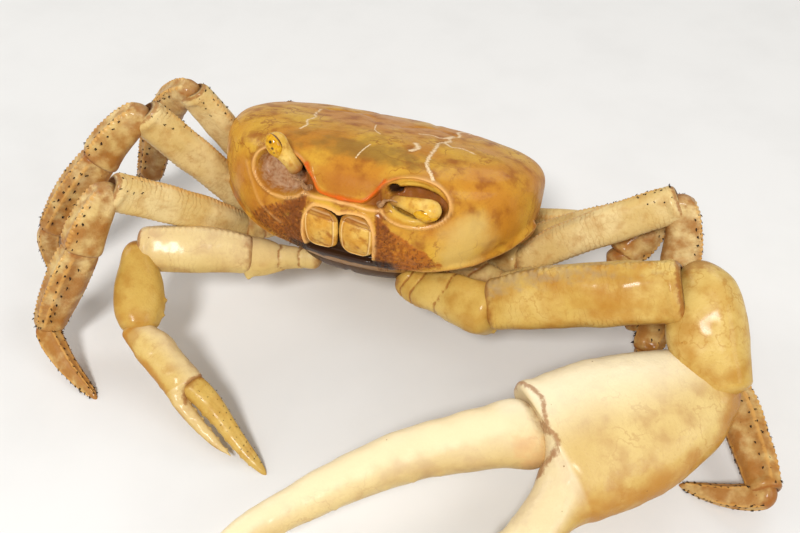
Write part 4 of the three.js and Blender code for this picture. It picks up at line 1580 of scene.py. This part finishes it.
@dataclass
class Carapace:
    """The domed shell, its eye sockets, front rim, mouth frame, cheeks and lower edge.

    Sizes and places are millimetres of the body's axes. Places of the face are pairs of the
    distance from the middle line and the height, and so are the corners of its profiles.
    """

    half_width: float = 55.0
    half_length: float = 43.0
    crown: float = 23.0
    keel: float = 23.0
    back_narrowing: float = 0.2
    flank: float = 8.0
    back: float = -8.0
    front: float = 6.2
    brow: float = 15.5
    socket: Pair = (22.0, 8.8)
    socket_radii: Pair = (10.6, 7.6)
    socket_depth: Pair = (5.4, 5.2)
    bed: Pair = (23.6, 8.9)
    bed_radii: Pair = (9.4, 4.9)
    bowl_depth: float = 1.3
    notch: Pair = (12.2, 7.2)
    pit: Pair = (15.6, 11.7)
    pit_radius: float = 2.1
    mouth_half_width: float = 11.4
    mouth_floor: float = -14.5
    mouth_depth: float = 3.0
    throat: float = -12.4
    frame_top: Path = ((0.0, 0.6), (2.5, 1.4), (6.0, 1.8), (8.5, 1.2), (10.2, -0.8), (11.2, -3.4))
    cheek_top: Path = ((9.0, 4.0), (14.3, 1.6), (19.2, -1.0), (25.6, -5.0), (31.7, -9.0),
                       (36.0, -14.0))
    cheek_corner: Pair = (13.0, 3.4)
    edge: Path = ((26.0, -15.5), (40.0, -11.5), (46.0, -8.4), (49.0, -5.9), (51.7, -2.8),
                  (54.0, 0.5))
    rows: int = 250
    columns: int = 390
    crowding: float = 0.76
    hair_count: int = 300
    hair_length: float = 0.6

    def shell(self) -> Array:
        """The plain dome.

        The margin is a superellipse in plan that narrows to the back; over and under it each
        meridian is a superellipse whose bluntness turns from the sides to the ends. The front
        margin has a low lobe, rises over the eyes and falls to the flank. Columns crowd towards
        the front.

        Returns:
            Points in body axes as (rows, columns, 3).
        """
        turn = round_turn(self.columns)
        plan = turn - self.crowding * np.cos(turn)
        plan_blunt = np.where(np.sin(plan) > 0.0, 0.95, 0.85)
        x, y = superellipse(plan, plan_blunt)
        round_ = np.arctan2(signed_power(y, 1.0 / plan_blunt), signed_power(x, 1.0 / plan_blunt))
        behind = y > 0.0
        x = self.half_width * x * (1.0 - self.back_narrowing * smooth(y))
        sunk = mix(self.flank, self.back, smooth(y))
        risen, fallen = smooth((np.abs(x) - 7.0) / 14.0), smooth((np.abs(x) - 24.0) / 12.0)
        brow = mix(mix(self.front, self.brow, risen), self.flank, fallen)
        rim = np.where(behind, sunk, brow)
        base = np.where(behind, sunk, self.flank)
        latitude = math.pi * (0.5 - np.arange(self.rows) / (self.rows - 1.0))[:, None]
        ends = np.sin(round_) ** 2
        above = mix(0.5, np.where(behind, 0.8, 0.72), ends)
        below = mix(0.87, np.where(behind, 0.65, 0.6), ends)
        spread, climb = superellipse(latitude, np.where(latitude > 0.0, above, below))
        reach = np.where(climb > 0.0, self.crown - base, self.keel + base)
        z = base + reach * climb + (rim - base) * (1.0 - np.abs(climb)) ** 2
        return np.stack([x * spread, y * self.half_length * spread, z], -1)

    def outward(self, local: Array) -> Array:
        """Ways out of a grid: the cross product of its two neighbour differences.

        Args:
            local: Points as (rows, columns, 3).

        Returns:
            A unit direction for each.
        """
        across = np.roll(local, -1, axis=1) - np.roll(local, 1, axis=1)
        out = np.cross(np.gradient(local, axis=0), across)
        out[0], out[-1] = (0.0, 0.0, 1.0), (0.0, 0.0, -1.0)
        return unit(out + 1e-9)

    def lines(self, local: Array, marks: Marks) -> Array:
        """Lift of the drawn lines: bells of the distance to each, times its height.

        Args:
            local: Points of the dome.
            marks: Takes each line's mark.

        Returns:
            The lift in millimetres.
        """
        x, y, z = np.moveaxis(local, -1, 0)
        lift = np.zeros_like(x)
        face, top = (y < -26.0) & (z < 20.0) & (z > -16.0), (z > 9.0) & (y < 32.0)
        for drawn, region, axes, fade, own_side in (
                (FACE_LINES, face, (0, 2), smooth((-y - 30.0) / 5.0), -1),
                (TOP_LINES, top, (0, 1), smooth((z - 10.0) / 3.0), 1)):
            flat = local[..., axes][region]
            for line in drawn:
                sides = (1, -1) if line.both_sides else (own_side,)
                near = sum(nearness(flat * (side, 1), line.path, line.width) for side in sides)
                near = np.clip(near, 0.0, 1.0) * fade[region]
                lift[region] += line.rise * near
                marks.setdefault(line.mark, np.zeros_like(x))[region] += near
        return lift

    def mouth(self, at: FaceView, marks: Marks) -> Array:
        """The opening inside the mouth frame, and the throat under it, both painted near black as
        shade.

        Args:
            at: The face's points.
            marks: Takes gullet, and loses its lip over the throat.

        Returns:
            Share of the opening.
        """
        opening = at.front * smooth((profile(self.frame_top, at.wide) - at.z) / 0.7)
        opening = opening * smooth((self.mouth_half_width - at.wide) / 0.7)
        opening = opening * smooth((at.z - self.mouth_floor) / 1.5)
        throat = smooth((20.0 - at.wide) / 4.0) * smooth((-at.y - 18.0) / 8.0)
        throat = throat * smooth(self.throat - at.z)
        marks["lip"] *= 1.0 - throat
        # the opening and the throat under it are painted near black as shade
        marks["gullet"] = opening + throat
        return opening

    def cheeks(self, at: FaceView, marks: Marks, opening: Array) -> Array:
        """Granules of the cheeks, below a ragged line under the sockets.

        Args:
            at: The face's points.
            marks: Takes cheek and gore.
            opening: Share of the mouth, which has none.

        Returns:
            Their height in millimetres.
        """
        top = profile(self.cheek_top, at.wide) + 3.0 * (1.0 - at.left)
        top = top + 1.2 * swelling(at.local, 5.0, 17)
        cheek = smooth((top - at.z) / 2.5) * smooth((at.wide - 11.6) / 1.2) * at.front
        corner = bell(at.away(self.cheek_corner, (1.0, 1.0 / 0.7)), 2.4)
        corner = corner * at.front * smooth((at.ring - 1.0) / 0.1)
        inner = 0.75 * smooth((24.0 - at.wide) / 12.0) * smooth((3.0 - at.z) / 4.0)
        inner = inner + 0.5 * (1.0 - at.left)
        outside = 1.0 - opening
        marks["cheek"] = np.clip(cheek + 0.9 * corner, 0.0, 1.0) * outside
        marks["gore"] = np.clip(cheek * (0.3 + 0.5 * inner) + 0.65 * corner, 0.0, 0.8) * outside
        fine, coarse = swelling(at.local, 1.7, 15, 30), swelling(at.local, 4.2, 16, 24)
        return cheek * (0.3 * fine + 0.25 * coarse)

    def orbits(self, at: FaceView, marks: Marks) -> Array:
        """Depth of the eye sockets: open on the right, a bed for the stalk on the left.

        Args:
            at: The face's points.
            marks: Takes hollow, pearl and amber, and more lip, rim and gullet.

        Returns:
            The depth in millimetres, with the raised rims taken off.
        """
        wide, z, front, left = at.wide, at.z, at.front, at.left
        inside = 1.0 - at.ring
        hollow = smooth(inside / 0.25) * front
        deep = mix(smooth(inside / 0.32), smooth((1.0 - at.bed) / 0.2), left) * front
        outline = front * (1.0 - bell(at.away((11.5, 7.5)), 3.6)) * smooth((wide - 10.5) / 2.0)
        off = 8.5 * (at.ring - 1.04)
        rim = bell(off, 0.4) * outline
        brim = bell(off, 1.1) * outline - rim
        upper = smooth((z - 12.0) / 3.0) * smooth((26.0 - wide) / 8.0)
        under_rim = np.interp(wide, *np.transpose(FRONT_RIM.path[1:]), right=20.0) - 0.9
        groove = smooth((under_rim - z) / 0.5) * smooth((z - 5.0) / 0.5) * front
        groove = groove * smooth((12.5 - wide) / 1.5)
        notch = bell(at.away(self.notch, (1.2, 1.6)), 2.2) * front
        pit = smooth((self.pit_radius - at.away(self.pit)) / 0.6) * front
        crease = bell((at.bed - 1.02) * 5.0, 0.35) * left * smooth((8.5 - z) / 2.0) * front
        shadow = brim * (1.0 - smooth(inside / 0.1) * left)
        # the sockets, notch, groove under the rim and brims are darkened here as painted shade
        marks["hollow"] = np.clip(deep + 0.8 * notch + 0.7 * groove + 0.55 * shadow, 0.0, 1.0)
        marks["pearl"] = 0.6 * hollow * smooth((-at.x - 13.0) / 4.0)
        marks["amber"] = (hollow * left * smooth((wide - 15.0) / 3.0)
                          * (1.0 - smooth((1.12 - at.bed) / 0.16)))
        # the pit and the crease under the left stalk are painted dark as shade
        marks["gullet"] = np.clip(marks["gullet"] + 1.3 * pit + 0.8 * crease, 0.0, 1.0)
        marks["lip"] += rim * (1.0 - 0.6 * upper)
        marks["rim"] += 0.6 * rim * upper * smooth((20.0 - wide) / 6.0)
        sunk = mix(self.socket_depth[1], self.socket_depth[0] - self.bowl_depth, left) * deep
        bowl = (sunk + self.bowl_depth * left * hollow) * (1.0 + 0.12 * swelling(at.local, 6.0, 5))
        return bowl + 1.3 * groove + 2.2 * notch + 2.0 * pit - 0.7 * rim + 0.3 * brim

    def lower_edge(self, local: Array, marks: Marks) -> Array:
        """Share by which the shell widens at its lower edge and draws in under it.

        Args:
            local: Points of the dome.
            marks: Takes under, and more lip and gullet.

        Returns:
            The share at each point.
        """
        x, y, z = np.moveaxis(local, -1, 0)
        edge = profile(self.edge, np.abs(x))
        edge = mix(edge, np.minimum(edge, -9.0), smooth((y + 8.0) / 10.0))
        over = z - edge + 3.0 * smooth((y - 10.0) / 20.0)
        reach = smooth((np.hypot(x, y + 5.0) - 24.0) / 6.0) * smooth((y + 34.0) / 5.0)
        marks["lip"] += 0.9 * bell(over - 0.3, 0.42) * reach
        marks["under"] = smooth(-over / 1.5)
        # a band of painted shade in the gap just under the pale lower edge
        marks["gullet"] += 0.9 * bell(over + 1.4, 0.9) * reach
        return (0.034 * bell(over - 0.6, 1.3) - 0.085 * smooth(-over)) * reach

    def tones(self, local: Array, marks: Marks) -> None:
        """Broad colouring: pale left flank, brown brow, back and edges, olive patch, and painted
        shade low on the right flank.

        Args:
            local: Points of the dome.
            marks: Takes flank, brow and olive.
        """
        x, y, z = np.moveaxis(local, -1, 0)
        wide, front = np.abs(x), smooth((-y - 20.0) / 14.0)
        # a tenth on the right flank: partly its browner shell, partly painted shade on that side
        marks["flank"] = (smooth((wide - 24.0) / 16.0) * smooth((14.0 - z) / 14.0) * front
                          * np.where(x > 0.0, 1.0, 0.1))
        lobe = bell(np.hypot(x / 15.0, (z - 10.5) / 4.5), 1.0) * front
        ends = 0.7 * smooth((wide - 40.0) / 12.0) * smooth((y + 16.0) / 24.0)
        shaded = 0.5 * smooth((-x - 22.0) / 10.0) * smooth((12.0 - z) / 10.0)
        # real brown on the brow, back and rear edges, and painted shade low on the right flank
        marks["brow"] = lobe + 0.8 * smooth((y - 12.0) / 24.0) + ends + shaded
        patch = bell(np.hypot((x - 2.0) / 22.0, (z - 19.5) / 2.4), 1.0)
        marks["olive"] = patch * smooth((-y - 12.0) / 10.0)

    def skin(self) -> Skin:
        """The dome with every hollow, line and swelling on it.

        Returns:
            The closed skin.
        """
        local = self.shell()
        out = self.outward(local)
        marks: Marks = {name: np.zeros(local.shape[:2]) for name in ("lip", "rim")}
        lift = self.lines(local, marks)
        at = FaceView(self, local)
        opening = self.mouth(at, marks)
        depth = self.mouth_depth * opening - self.cheeks(at, marks, opening)
        depth = depth + self.orbits(at, marks)
        draw_in = self.lower_edge(local, marks)
        self.tones(local, marks)
        hills = 0.28 * swelling(local, 24.0, 21) + 0.09 * swelling(local, 8.0, 22)
        calm = 1.0 - np.clip(marks["hollow"] + marks["gullet"], 0.0, 1.0)
        local = local + ((lift + hills) * calm)[..., None] * out
        local[..., 1] += depth
        local[..., :2] *= (1.0 + draw_in)[..., None]
        marks.pop("groove")
        marks["lip"] += 0.4 * marks.pop("ridge")
        return one_skin(from_body(local), held(marks))

    def cheek_hairs(self, shell: Skin, seed: int = 12) -> Skin:
        """Short hairs on the cheeks.

        Args:
            shell: The finished shell that they root on.
            seed: Picks their places and how they stray.

        Returns:
            One skin of all the hairs with their bake map.
        """
        draw = np.random.default_rng(seed)
        cheeks = np.flatnonzero(shell.marks["cheek"] > 0.75)
        roots = shell.places[draw.choice(cheeks, self.hair_count, replace=False)]
        out = unit(roots - BODY_CENTRE + (0.0, 10.0, 0.0))
        lean = unit(way_from_body((0.0, -0.4, -1.0)) + 0.25 * draw.normal(size=out.shape))
        flat = np.stack([(roots[:, 0] + 60.0) / 120.0, (roots[:, 2] + 10.0) / 110.0], -1)
        length = np.full(self.hair_count, self.hair_length)
        return Tuft(per_tuft=2, radius=0.06).skin(roots, out, lean, length, flat, seed)

    def build(self, shell: Material, hair: Material) -> None:
        """Make the carapace and its cheek hairs.

        Args:
            shell: Finish of the shell.
            hair: Finish of the hairs.
        """
        skin = self.skin()
        add_piece("carapace_shell", skin, shell, ("carapace",))
        add_piece("cheek_hairs", self.cheek_hairs(skin), hair)


@dataclass
class MouthPlate:
    """One of the two flat plates that shut the mouth, with a raised pale border."""

    side: Side
    top: Triple = (6.2, -41.8, 1.2)
    bottom: Triple = (5.9, -37.5, -12.6)
    outward: Triple = (0.0, -1.0, -0.3)
    form: PlateForm = PlateForm(
        (1.5, 1.8, 1.9, 1.8, 1.4), (4.9, 5.8, 5.9, 5.4, 4.4), (0, 0.6, 0.8, 0.5, 0), (0.16, 0.2),
        0.6, rows=120, steps=120)
    border: float = 0.94
    groove: float = 0.85
    fold: float = 0.17
    slant: float = 0.16

    def skin(self) -> Skin:
        """A cushion-shaped plate whose outer face dips inside a rounded border.

        Border and groove are bells of the larger of the two shares from the plate's middle,
        across and along it. A brown fold crosses the plate under its top.

        Returns:
            The closed skin.
        """
        sign = np.array([self.side.value, 1.0, 1.0])
        start, end = (from_body(np.asarray(place) * sign) for place in (self.top, self.bottom))
        plate = Plate(self.form, start, end, way_from_body(self.outward))
        axis, height, width, length = plate.axes()
        place, shrink, _ = plate.rows(length)
        angle = round_turn(self.form.steps)
        points, _ = plate.sections(place, shrink, angle)
        across = np.abs((points - points.mean(1, keepdims=True)) @ width)
        across = across / across.max(1, keepdims=True).clip(1.0)
        down, sine = (place / length)[:, None], np.sin(angle)
        outer = np.maximum(0.2 * max(self.form.wide) * across, 1.05 * np.abs(2.0 * down - 1.0))
        front = smooth(2.0 * sine)
        border, groove = (bell(outer - rim, 0.035) * front for rim in (self.border, self.groove))
        inside = smooth((0.9 - outer) / 0.12) * front
        cushion = inside * (0.7 * bell(outer, 0.6) - 0.4 + 0.12 * swelling(points, 2.4, 31, 24))
        fold = bell(down - self.fold, 0.025) * front
        band = bell(down - self.fold, 0.018) + 0.7 * smooth((self.fold - 0.01 - down) / 0.03)
        drop = self.slant * ((points - start) @ width) * (1.0 - down)
        lift = 0.2 * border + cushion - 0.15 * groove - 0.35 * fold
        points = points + lift[..., None] * height - drop[..., None] * axis
        # the back face and the sides, which face into the mouth, are marked for painted shade
        lining = smooth(-2.0 * sine) + 0.9 * smooth((0.12 - sine) / 0.1)
        return one_skin(points, held({"lip": 0.85 * border, "groove": 0.5 * groove + band * front,
                                      "lining": lining}))

    def build(self, shell: Material) -> None:
        """Make the plate in its finish."""
        node = f"mouth_{self.side.word}"
        add_piece(f"{node}_plate", self.skin(), shell, (node,))


@dataclass
class Eye:
    """A stalk with a long window of cornea on the outer side of its end.

    The window ends window_back short of the stalk's tip, stands out by window_out and leans
    across the stalk. pupils are dark specks: share of the window, angle and radius.
    """

    side: Side
    root: Triple
    tip: Triple
    look: Triple
    radii: Stations = (2.4, 2.2, 2.5, 3.1, 3.2)
    domes: Pair = (0.14, 0.24)
    relief: float = 0.06
    window: PlateForm = PlateForm((1.6, 2.2, 2.2, 1.6), (2.2, 2.8, 2.8, 2.2), domes=(0.5, 0.5),
                                  square=1.0, relief=0.0, rows=64, steps=64)
    window_length: float = 7.8
    window_back: float = -0.4
    window_out: float = 1.7
    window_lean: float = 0.0
    pupils: tuple[Triple, ...] = ()

    def stalk(self) -> Plate:
        """The stalk as a round plate in upright axes."""
        form = PlateForm(self.radii, self.radii, domes=self.domes, relief=self.relief)
        return Plate(form, from_body(np.asarray(self.root)), from_body(np.asarray(self.tip)),
                     way_from_body(self.look), seed=71)

    def cornea(self) -> Skin:
        """The window, with round specks and painted shade on the half that meets the stalk.

        Returns:
            The closed skin.
        """
        tip, look = np.asarray(self.tip), np.asarray(self.look)
        way = unit(tip - self.root)
        out = unit(look - way * (look @ way))
        lean = np.cross(way, out) * self.window_lean
        start, end = (from_body(tip - way * back + out * self.window_out + turned)
                      for back, turned in ((self.window_back + self.window_length, -lean),
                                           (self.window_back, lean)))
        window = Plate(self.window, start, end, way_from_body(self.look), seed=72)
        skin = window.skin()
        pupil = np.zeros(len(skin.places))
        for share, degrees, radius in self.pupils:
            spot = window.sites(np.array([share]), np.radians([degrees]))[0][0]
            away = np.linalg.norm(skin.places - spot, axis=1)
            pupil += smooth((radius * 1.3 - away) / (0.5 * radius))
        above = (skin.places - skin.places.mean(0)) @ window.axes()[1]
        # the half of the window towards the stalk is marked for painted shade
        skin.marks |= held({"pupil": pupil, "skirt": smooth((0.1 - above) / 0.3)})
        return skin

    def build(self, shell: Material, cornea: Material) -> None:
        """Make the stalk and the cornea.

        Args:
            shell: Finish of the stalk.
            cornea: Finish of the window.
        """
        word = self.side.word
        add_piece(f"eyestalk_{word}_shell", self.stalk().skin(), shell,
                  (f"eyestalk_{word}",))
        add_piece(f"cornea_{word}", self.cornea(), cornea, (f"eye_{word}",))


LEFT_EYE = Eye(Side.LEFT, (15.0, -41.2, 8.7), (31.6, -42.2, 8.3), (0.1, -0.5, -0.85),
               (1.6, 1.9, 2.6, 3.1, 3.1), (0.12, 0.2), 0.1, window_length=8.4, window_back=0.4)
RIGHT_EYE = Eye(Side.RIGHT, (-14.9, -42.2, 10.6), (-24.4, -45.4, 21.4), (-0.38, -0.92, 0.08),
                window_lean=1.5, pupils=((0.76, 68.0, 0.5), (0.52, 66.0, 0.42), (0.33, 68.0, 0.3)))


@dataclass
class Feelers:
    """Small feelers between the eyes: two folded antennules and two short antennae."""

    paths: tuple[tuple[tuple[Triple, ...], float], ...] = (
        (((11.5, -39.5, 6.0), (12.4, -41.6, 6.2), (13.2, -42.2, 7.2), (13.8, -41.6, 8.4)), 1.0),
        (((13.4, -41.6, 7.6), (14.6, -43.2, 8.6), (16.2, -43.8, 9.2), (18.2, -43.8, 9.0)), 0.38),
    )
    joints: float = 9.0
    taper: float = 0.55
    rows: int = 60
    steps: int = 20

    def skin(self) -> Skin:
        """Tubes along curves, each section a circle square to its path, jointed and tapering.

        Returns:
            One closed skin of all the tubes.
        """
        share = np.linspace(0.0, 1.0, self.rows)
        size = (1.0 + 0.12 * np.sin(TAU * self.joints * share)) * (1.0 - self.taper * share)
        size = size * dome(share, 0.04) * dome(1.0 - share, 0.06)
        grids = []
        for path, radius in self.paths:
            for side in (1.0, -1.0):
                spine = from_body(along(np.asarray(path) * (side, 1.0, 1.0), share))
                way = unit(np.gradient(spine, axis=0))
                across = unit(np.cross(way, (0.0, 0.0, 1.0)))
                ring = circles(across, np.cross(way, across), self.steps)
                grids.append(spine[:, None] + (radius * size)[:, None, None] * ring)
        return closed_skin(np.asarray(grids))

    def build(self, finish: Material) -> None:
        """Make all the feelers as one piece."""
        add_piece("feelers", self.skin(), finish)


# ---- Underside


@dataclass
class Sternum:
    """The chest plate between the legs, grooved between its segments."""

    front: float = -31.0
    back: float = 35.0
    level: float = -16.5
    form: PlateForm = PlateForm((8, 9.4, 9.6, 9.6, 8), (15, 25, 28, 27, 17), domes=(0.2, 0.2),
                                square=0.7, rows=160, steps=140)
    grooves: tuple[float, ...] = (0.3, 0.44, 0.58, 0.72, 0.86)
    groove_bow: float = 0.0015
    groove_depth: float = 0.7

    def build(self, shell: Material) -> None:
        """Make the plate: seams across it, each a bell of the distance to a line that bows back.

        Args:
            shell: Finish of the plate.
        """
        start, end = (from_body(np.array([0.0, y, self.level])) for y in (self.front, self.back))
        plate = Plate(self.form, start, end, way_from_body((0.0, 0.0, 1.0)))
        _, _, width, length = plate.axes()
        place, shrink, _ = plate.rows(length)
        points, out = plate.sections(place, shrink, round_turn(self.form.steps))
        beside, share = (points - start) @ width, (place / length)[:, None]
        bowed = share + self.groove_bow * np.abs(beside)
        seam = sum(bell((bowed - groove) * length, 0.8) for groove in self.grooves)
        seam = np.clip(seam + bell(beside, 0.6), 0.0, 1.0)
        lift = 0.3 * swelling(points, 12.0, 41) - self.groove_depth * seam
        points = points + (lift * smooth(shrink)[:, None])[..., None] * out
        # the front of the plate, under the mouth, is marked for painted shade
        skin = one_skin(points, {"seam": seam, "front": smooth((0.26 - share) / 0.1)})
        add_piece("sternum_plate", skin, shell, ("thorax",))


@dataclass
class Abdomen:
    """The narrow tail plate of a male, seven segments folded under the body."""

    spine: tuple[Triple, ...] = ((0, 42.5, -8.5), (0, 39, -17.5), (0, 28.5, -24.4), (0, 11, -26.9),
                                 (0, -10, -26.6))
    half_widths: Stations = (15, 14.5, 12, 8.5, 5.5, 3)
    half_thickness: float = 1.7
    length: float = 75.0
    seams: tuple[float, ...] = (0.12, 0.24, 0.38, 0.52, 0.66, 0.82)
    rows: int = 160
    steps: int = 80

    def build(self, shell: Material) -> None:
        """Make the plate: sections carried along the spine, stepped down at each seam.

        Args:
            shell: Finish of the plate.
        """
        share = 0.5 - 0.5 * np.cos(math.pi * np.linspace(0.0, 1.0, self.rows))
        spine = along(np.asarray(self.spine), share)
        way = unit(np.gradient(spine, axis=0))
        outward = np.stack([way[:, 0] * 0.0, way[:, 2], -way[:, 1]], -1)
        angle = round_turn(self.steps)
        end = dome(share, 0.06) * dome(1.0 - share, 0.08)
        seam = sum(bell((share - place) * self.length, 0.7) for place in self.seams)
        broad = along(self.half_widths, share) * end - 0.5 * seam
        broad = broad[:, None] * signed_power(np.cos(angle), 0.7)
        deep = self.half_thickness * end - 0.35 * seam
        deep = deep[:, None] * signed_power(np.sin(angle), 0.8)
        deep += 0.5 * bell(broad, 3.0) * np.sign(deep) * end[:, None]
        local = spine[:, None] + deep[..., None] * outward[:, None]
        local[..., 0] -= broad
        skin = one_skin(from_body(local), held({"seam": seam[:, None]}))
        add_piece("abdomen_plate", skin, shell, ("abdomen",))


# ---- Studio


@dataclass
class Studio:
    """Plain pale floor, soft round lights on all sides and the camera."""

    camera_place: Triple = (92.8, -238.6, 250.6)
    camera_turn: Triple = (46.0, 0.0, 20.0)
    lens: float = 42.41
    floor_size: float = 12000.0
    sky: Colour = (1.0, 0.985, 0.96)
    sky_strength: float = 0.36
    lights: tuple[tuple[Triple, float, float], ...] = (  # place, width and watts
        ((60.0, -720.0, 820.0), 220.0, 9.0),
        ((850.0, -300.0, 600.0), 600.0, 3.0),
        ((-850.0, 100.0, 650.0), 600.0, 3.0),
        ((250.0, 900.0, 800.0), 800.0, 3.2),
    )

    def put(self, data: bpy.types.ID) -> bpy.types.Object:
        """Put a mesh, lamp or camera in the scene.

        Args:
            data: What the new object shows.

        Returns:
            The object.
        """
        thing = bpy.data.objects.new(data.name, data)
        bpy.context.scene.collection.objects.link(thing)
        return thing

    def lay_floor(self, finish: Material) -> None:
        """Make the floor.

        Args:
            finish: What it is dressed in.
        """
        half = 0.5 * self.floor_size * MM
        corners = [(x * half, y * half, 0.0) for x, y in ((-1, -1), (1, -1), (1, 1), (-1, 1))]
        mesh = bpy.data.meshes.new("studio_floor")
        mesh.from_pydata(corners, [], [(0, 1, 2, 3)])
        mesh.materials.append(finish)
        self.put(mesh)

    def light_up(self) -> None:
        """Make the sky and the lamps, each turned to look at the middle of the crab."""
        world = bpy.data.worlds.new("studio_sky")
        world.use_nodes = True
        sky = world.node_tree.nodes["Background"]
        sky.inputs["Color"].default_value = (*self.sky, 1.0)
        sky.inputs["Strength"].default_value = self.sky_strength
        bpy.context.scene.world = world
        for order, (place, size, power) in enumerate(self.lights):
            light = bpy.data.lights.new(f"softbox_{order}", "AREA")
            light.shape = "DISK"
            light.size = size * MM
            light.energy = power
            lamp = self.put(light)
            x, y, z = lamp.location = np.asarray(place) * MM
            lamp.rotation_euler = (math.atan2(math.hypot(x, y), z), 0.0, math.atan2(x, -y))

    def build(self, floor: Material) -> None:
        """Make the floor, the light and the camera.

        Args:
            floor: Finish of the floor.
        """
        scene = bpy.context.scene
        scene.view_settings.view_transform = "Standard"
        self.lay_floor(floor)
        self.light_up()
        lens = bpy.data.cameras.new("camera")
        lens.lens = self.lens
        camera = self.put(lens)
        camera.location = (np.asarray(self.camera_place) - MIDDLE) * MM
        camera.rotation_euler = np.radians(self.camera_turn)
        scene.camera = camera


def main() -> None:
    """Build the crab piece by piece, then the studio round it."""
    logging.basicConfig(level=logging.INFO, format="%(name)s %(message)s")
    claw, leg = CLAW_FINISH.build(), LEG_FINISH.build()
    under, bristle = UNDER_FINISH.build(), BRISTLE_FINISH.build()
    Studio().build(FLOOR_FINISH.build())
    Carapace().build(CARAPACE_FINISH.build(), HAIR_FINISH.build())
    mouth, stalk, cornea = MOUTH_FINISH.build(), STALK_FINISH.build(), CORNEA_FINISH.build()
    for side in Side:
        MouthPlate(side).build(mouth)
    LEFT_EYE.build(stalk, cornea)
    RIGHT_EYE.build(stalk, cornea)
    Feelers().build(FEELER_FINISH.build())
    Sternum().build(under)
    Abdomen().build(under)
    for great_or_small in (GREAT_CLAW, SMALL_CLAW):
        great_or_small.build(claw, bristle)
    for (pair, side), joints in LEG_JOINTS.items():
        seed = 100 * pair + side.value
        WalkingLeg(f"leg{pair}_{side.word}", joints, LEG_GIRTH[pair], seed).build(leg, bristle)


if __name__ == "__main__":
    main()
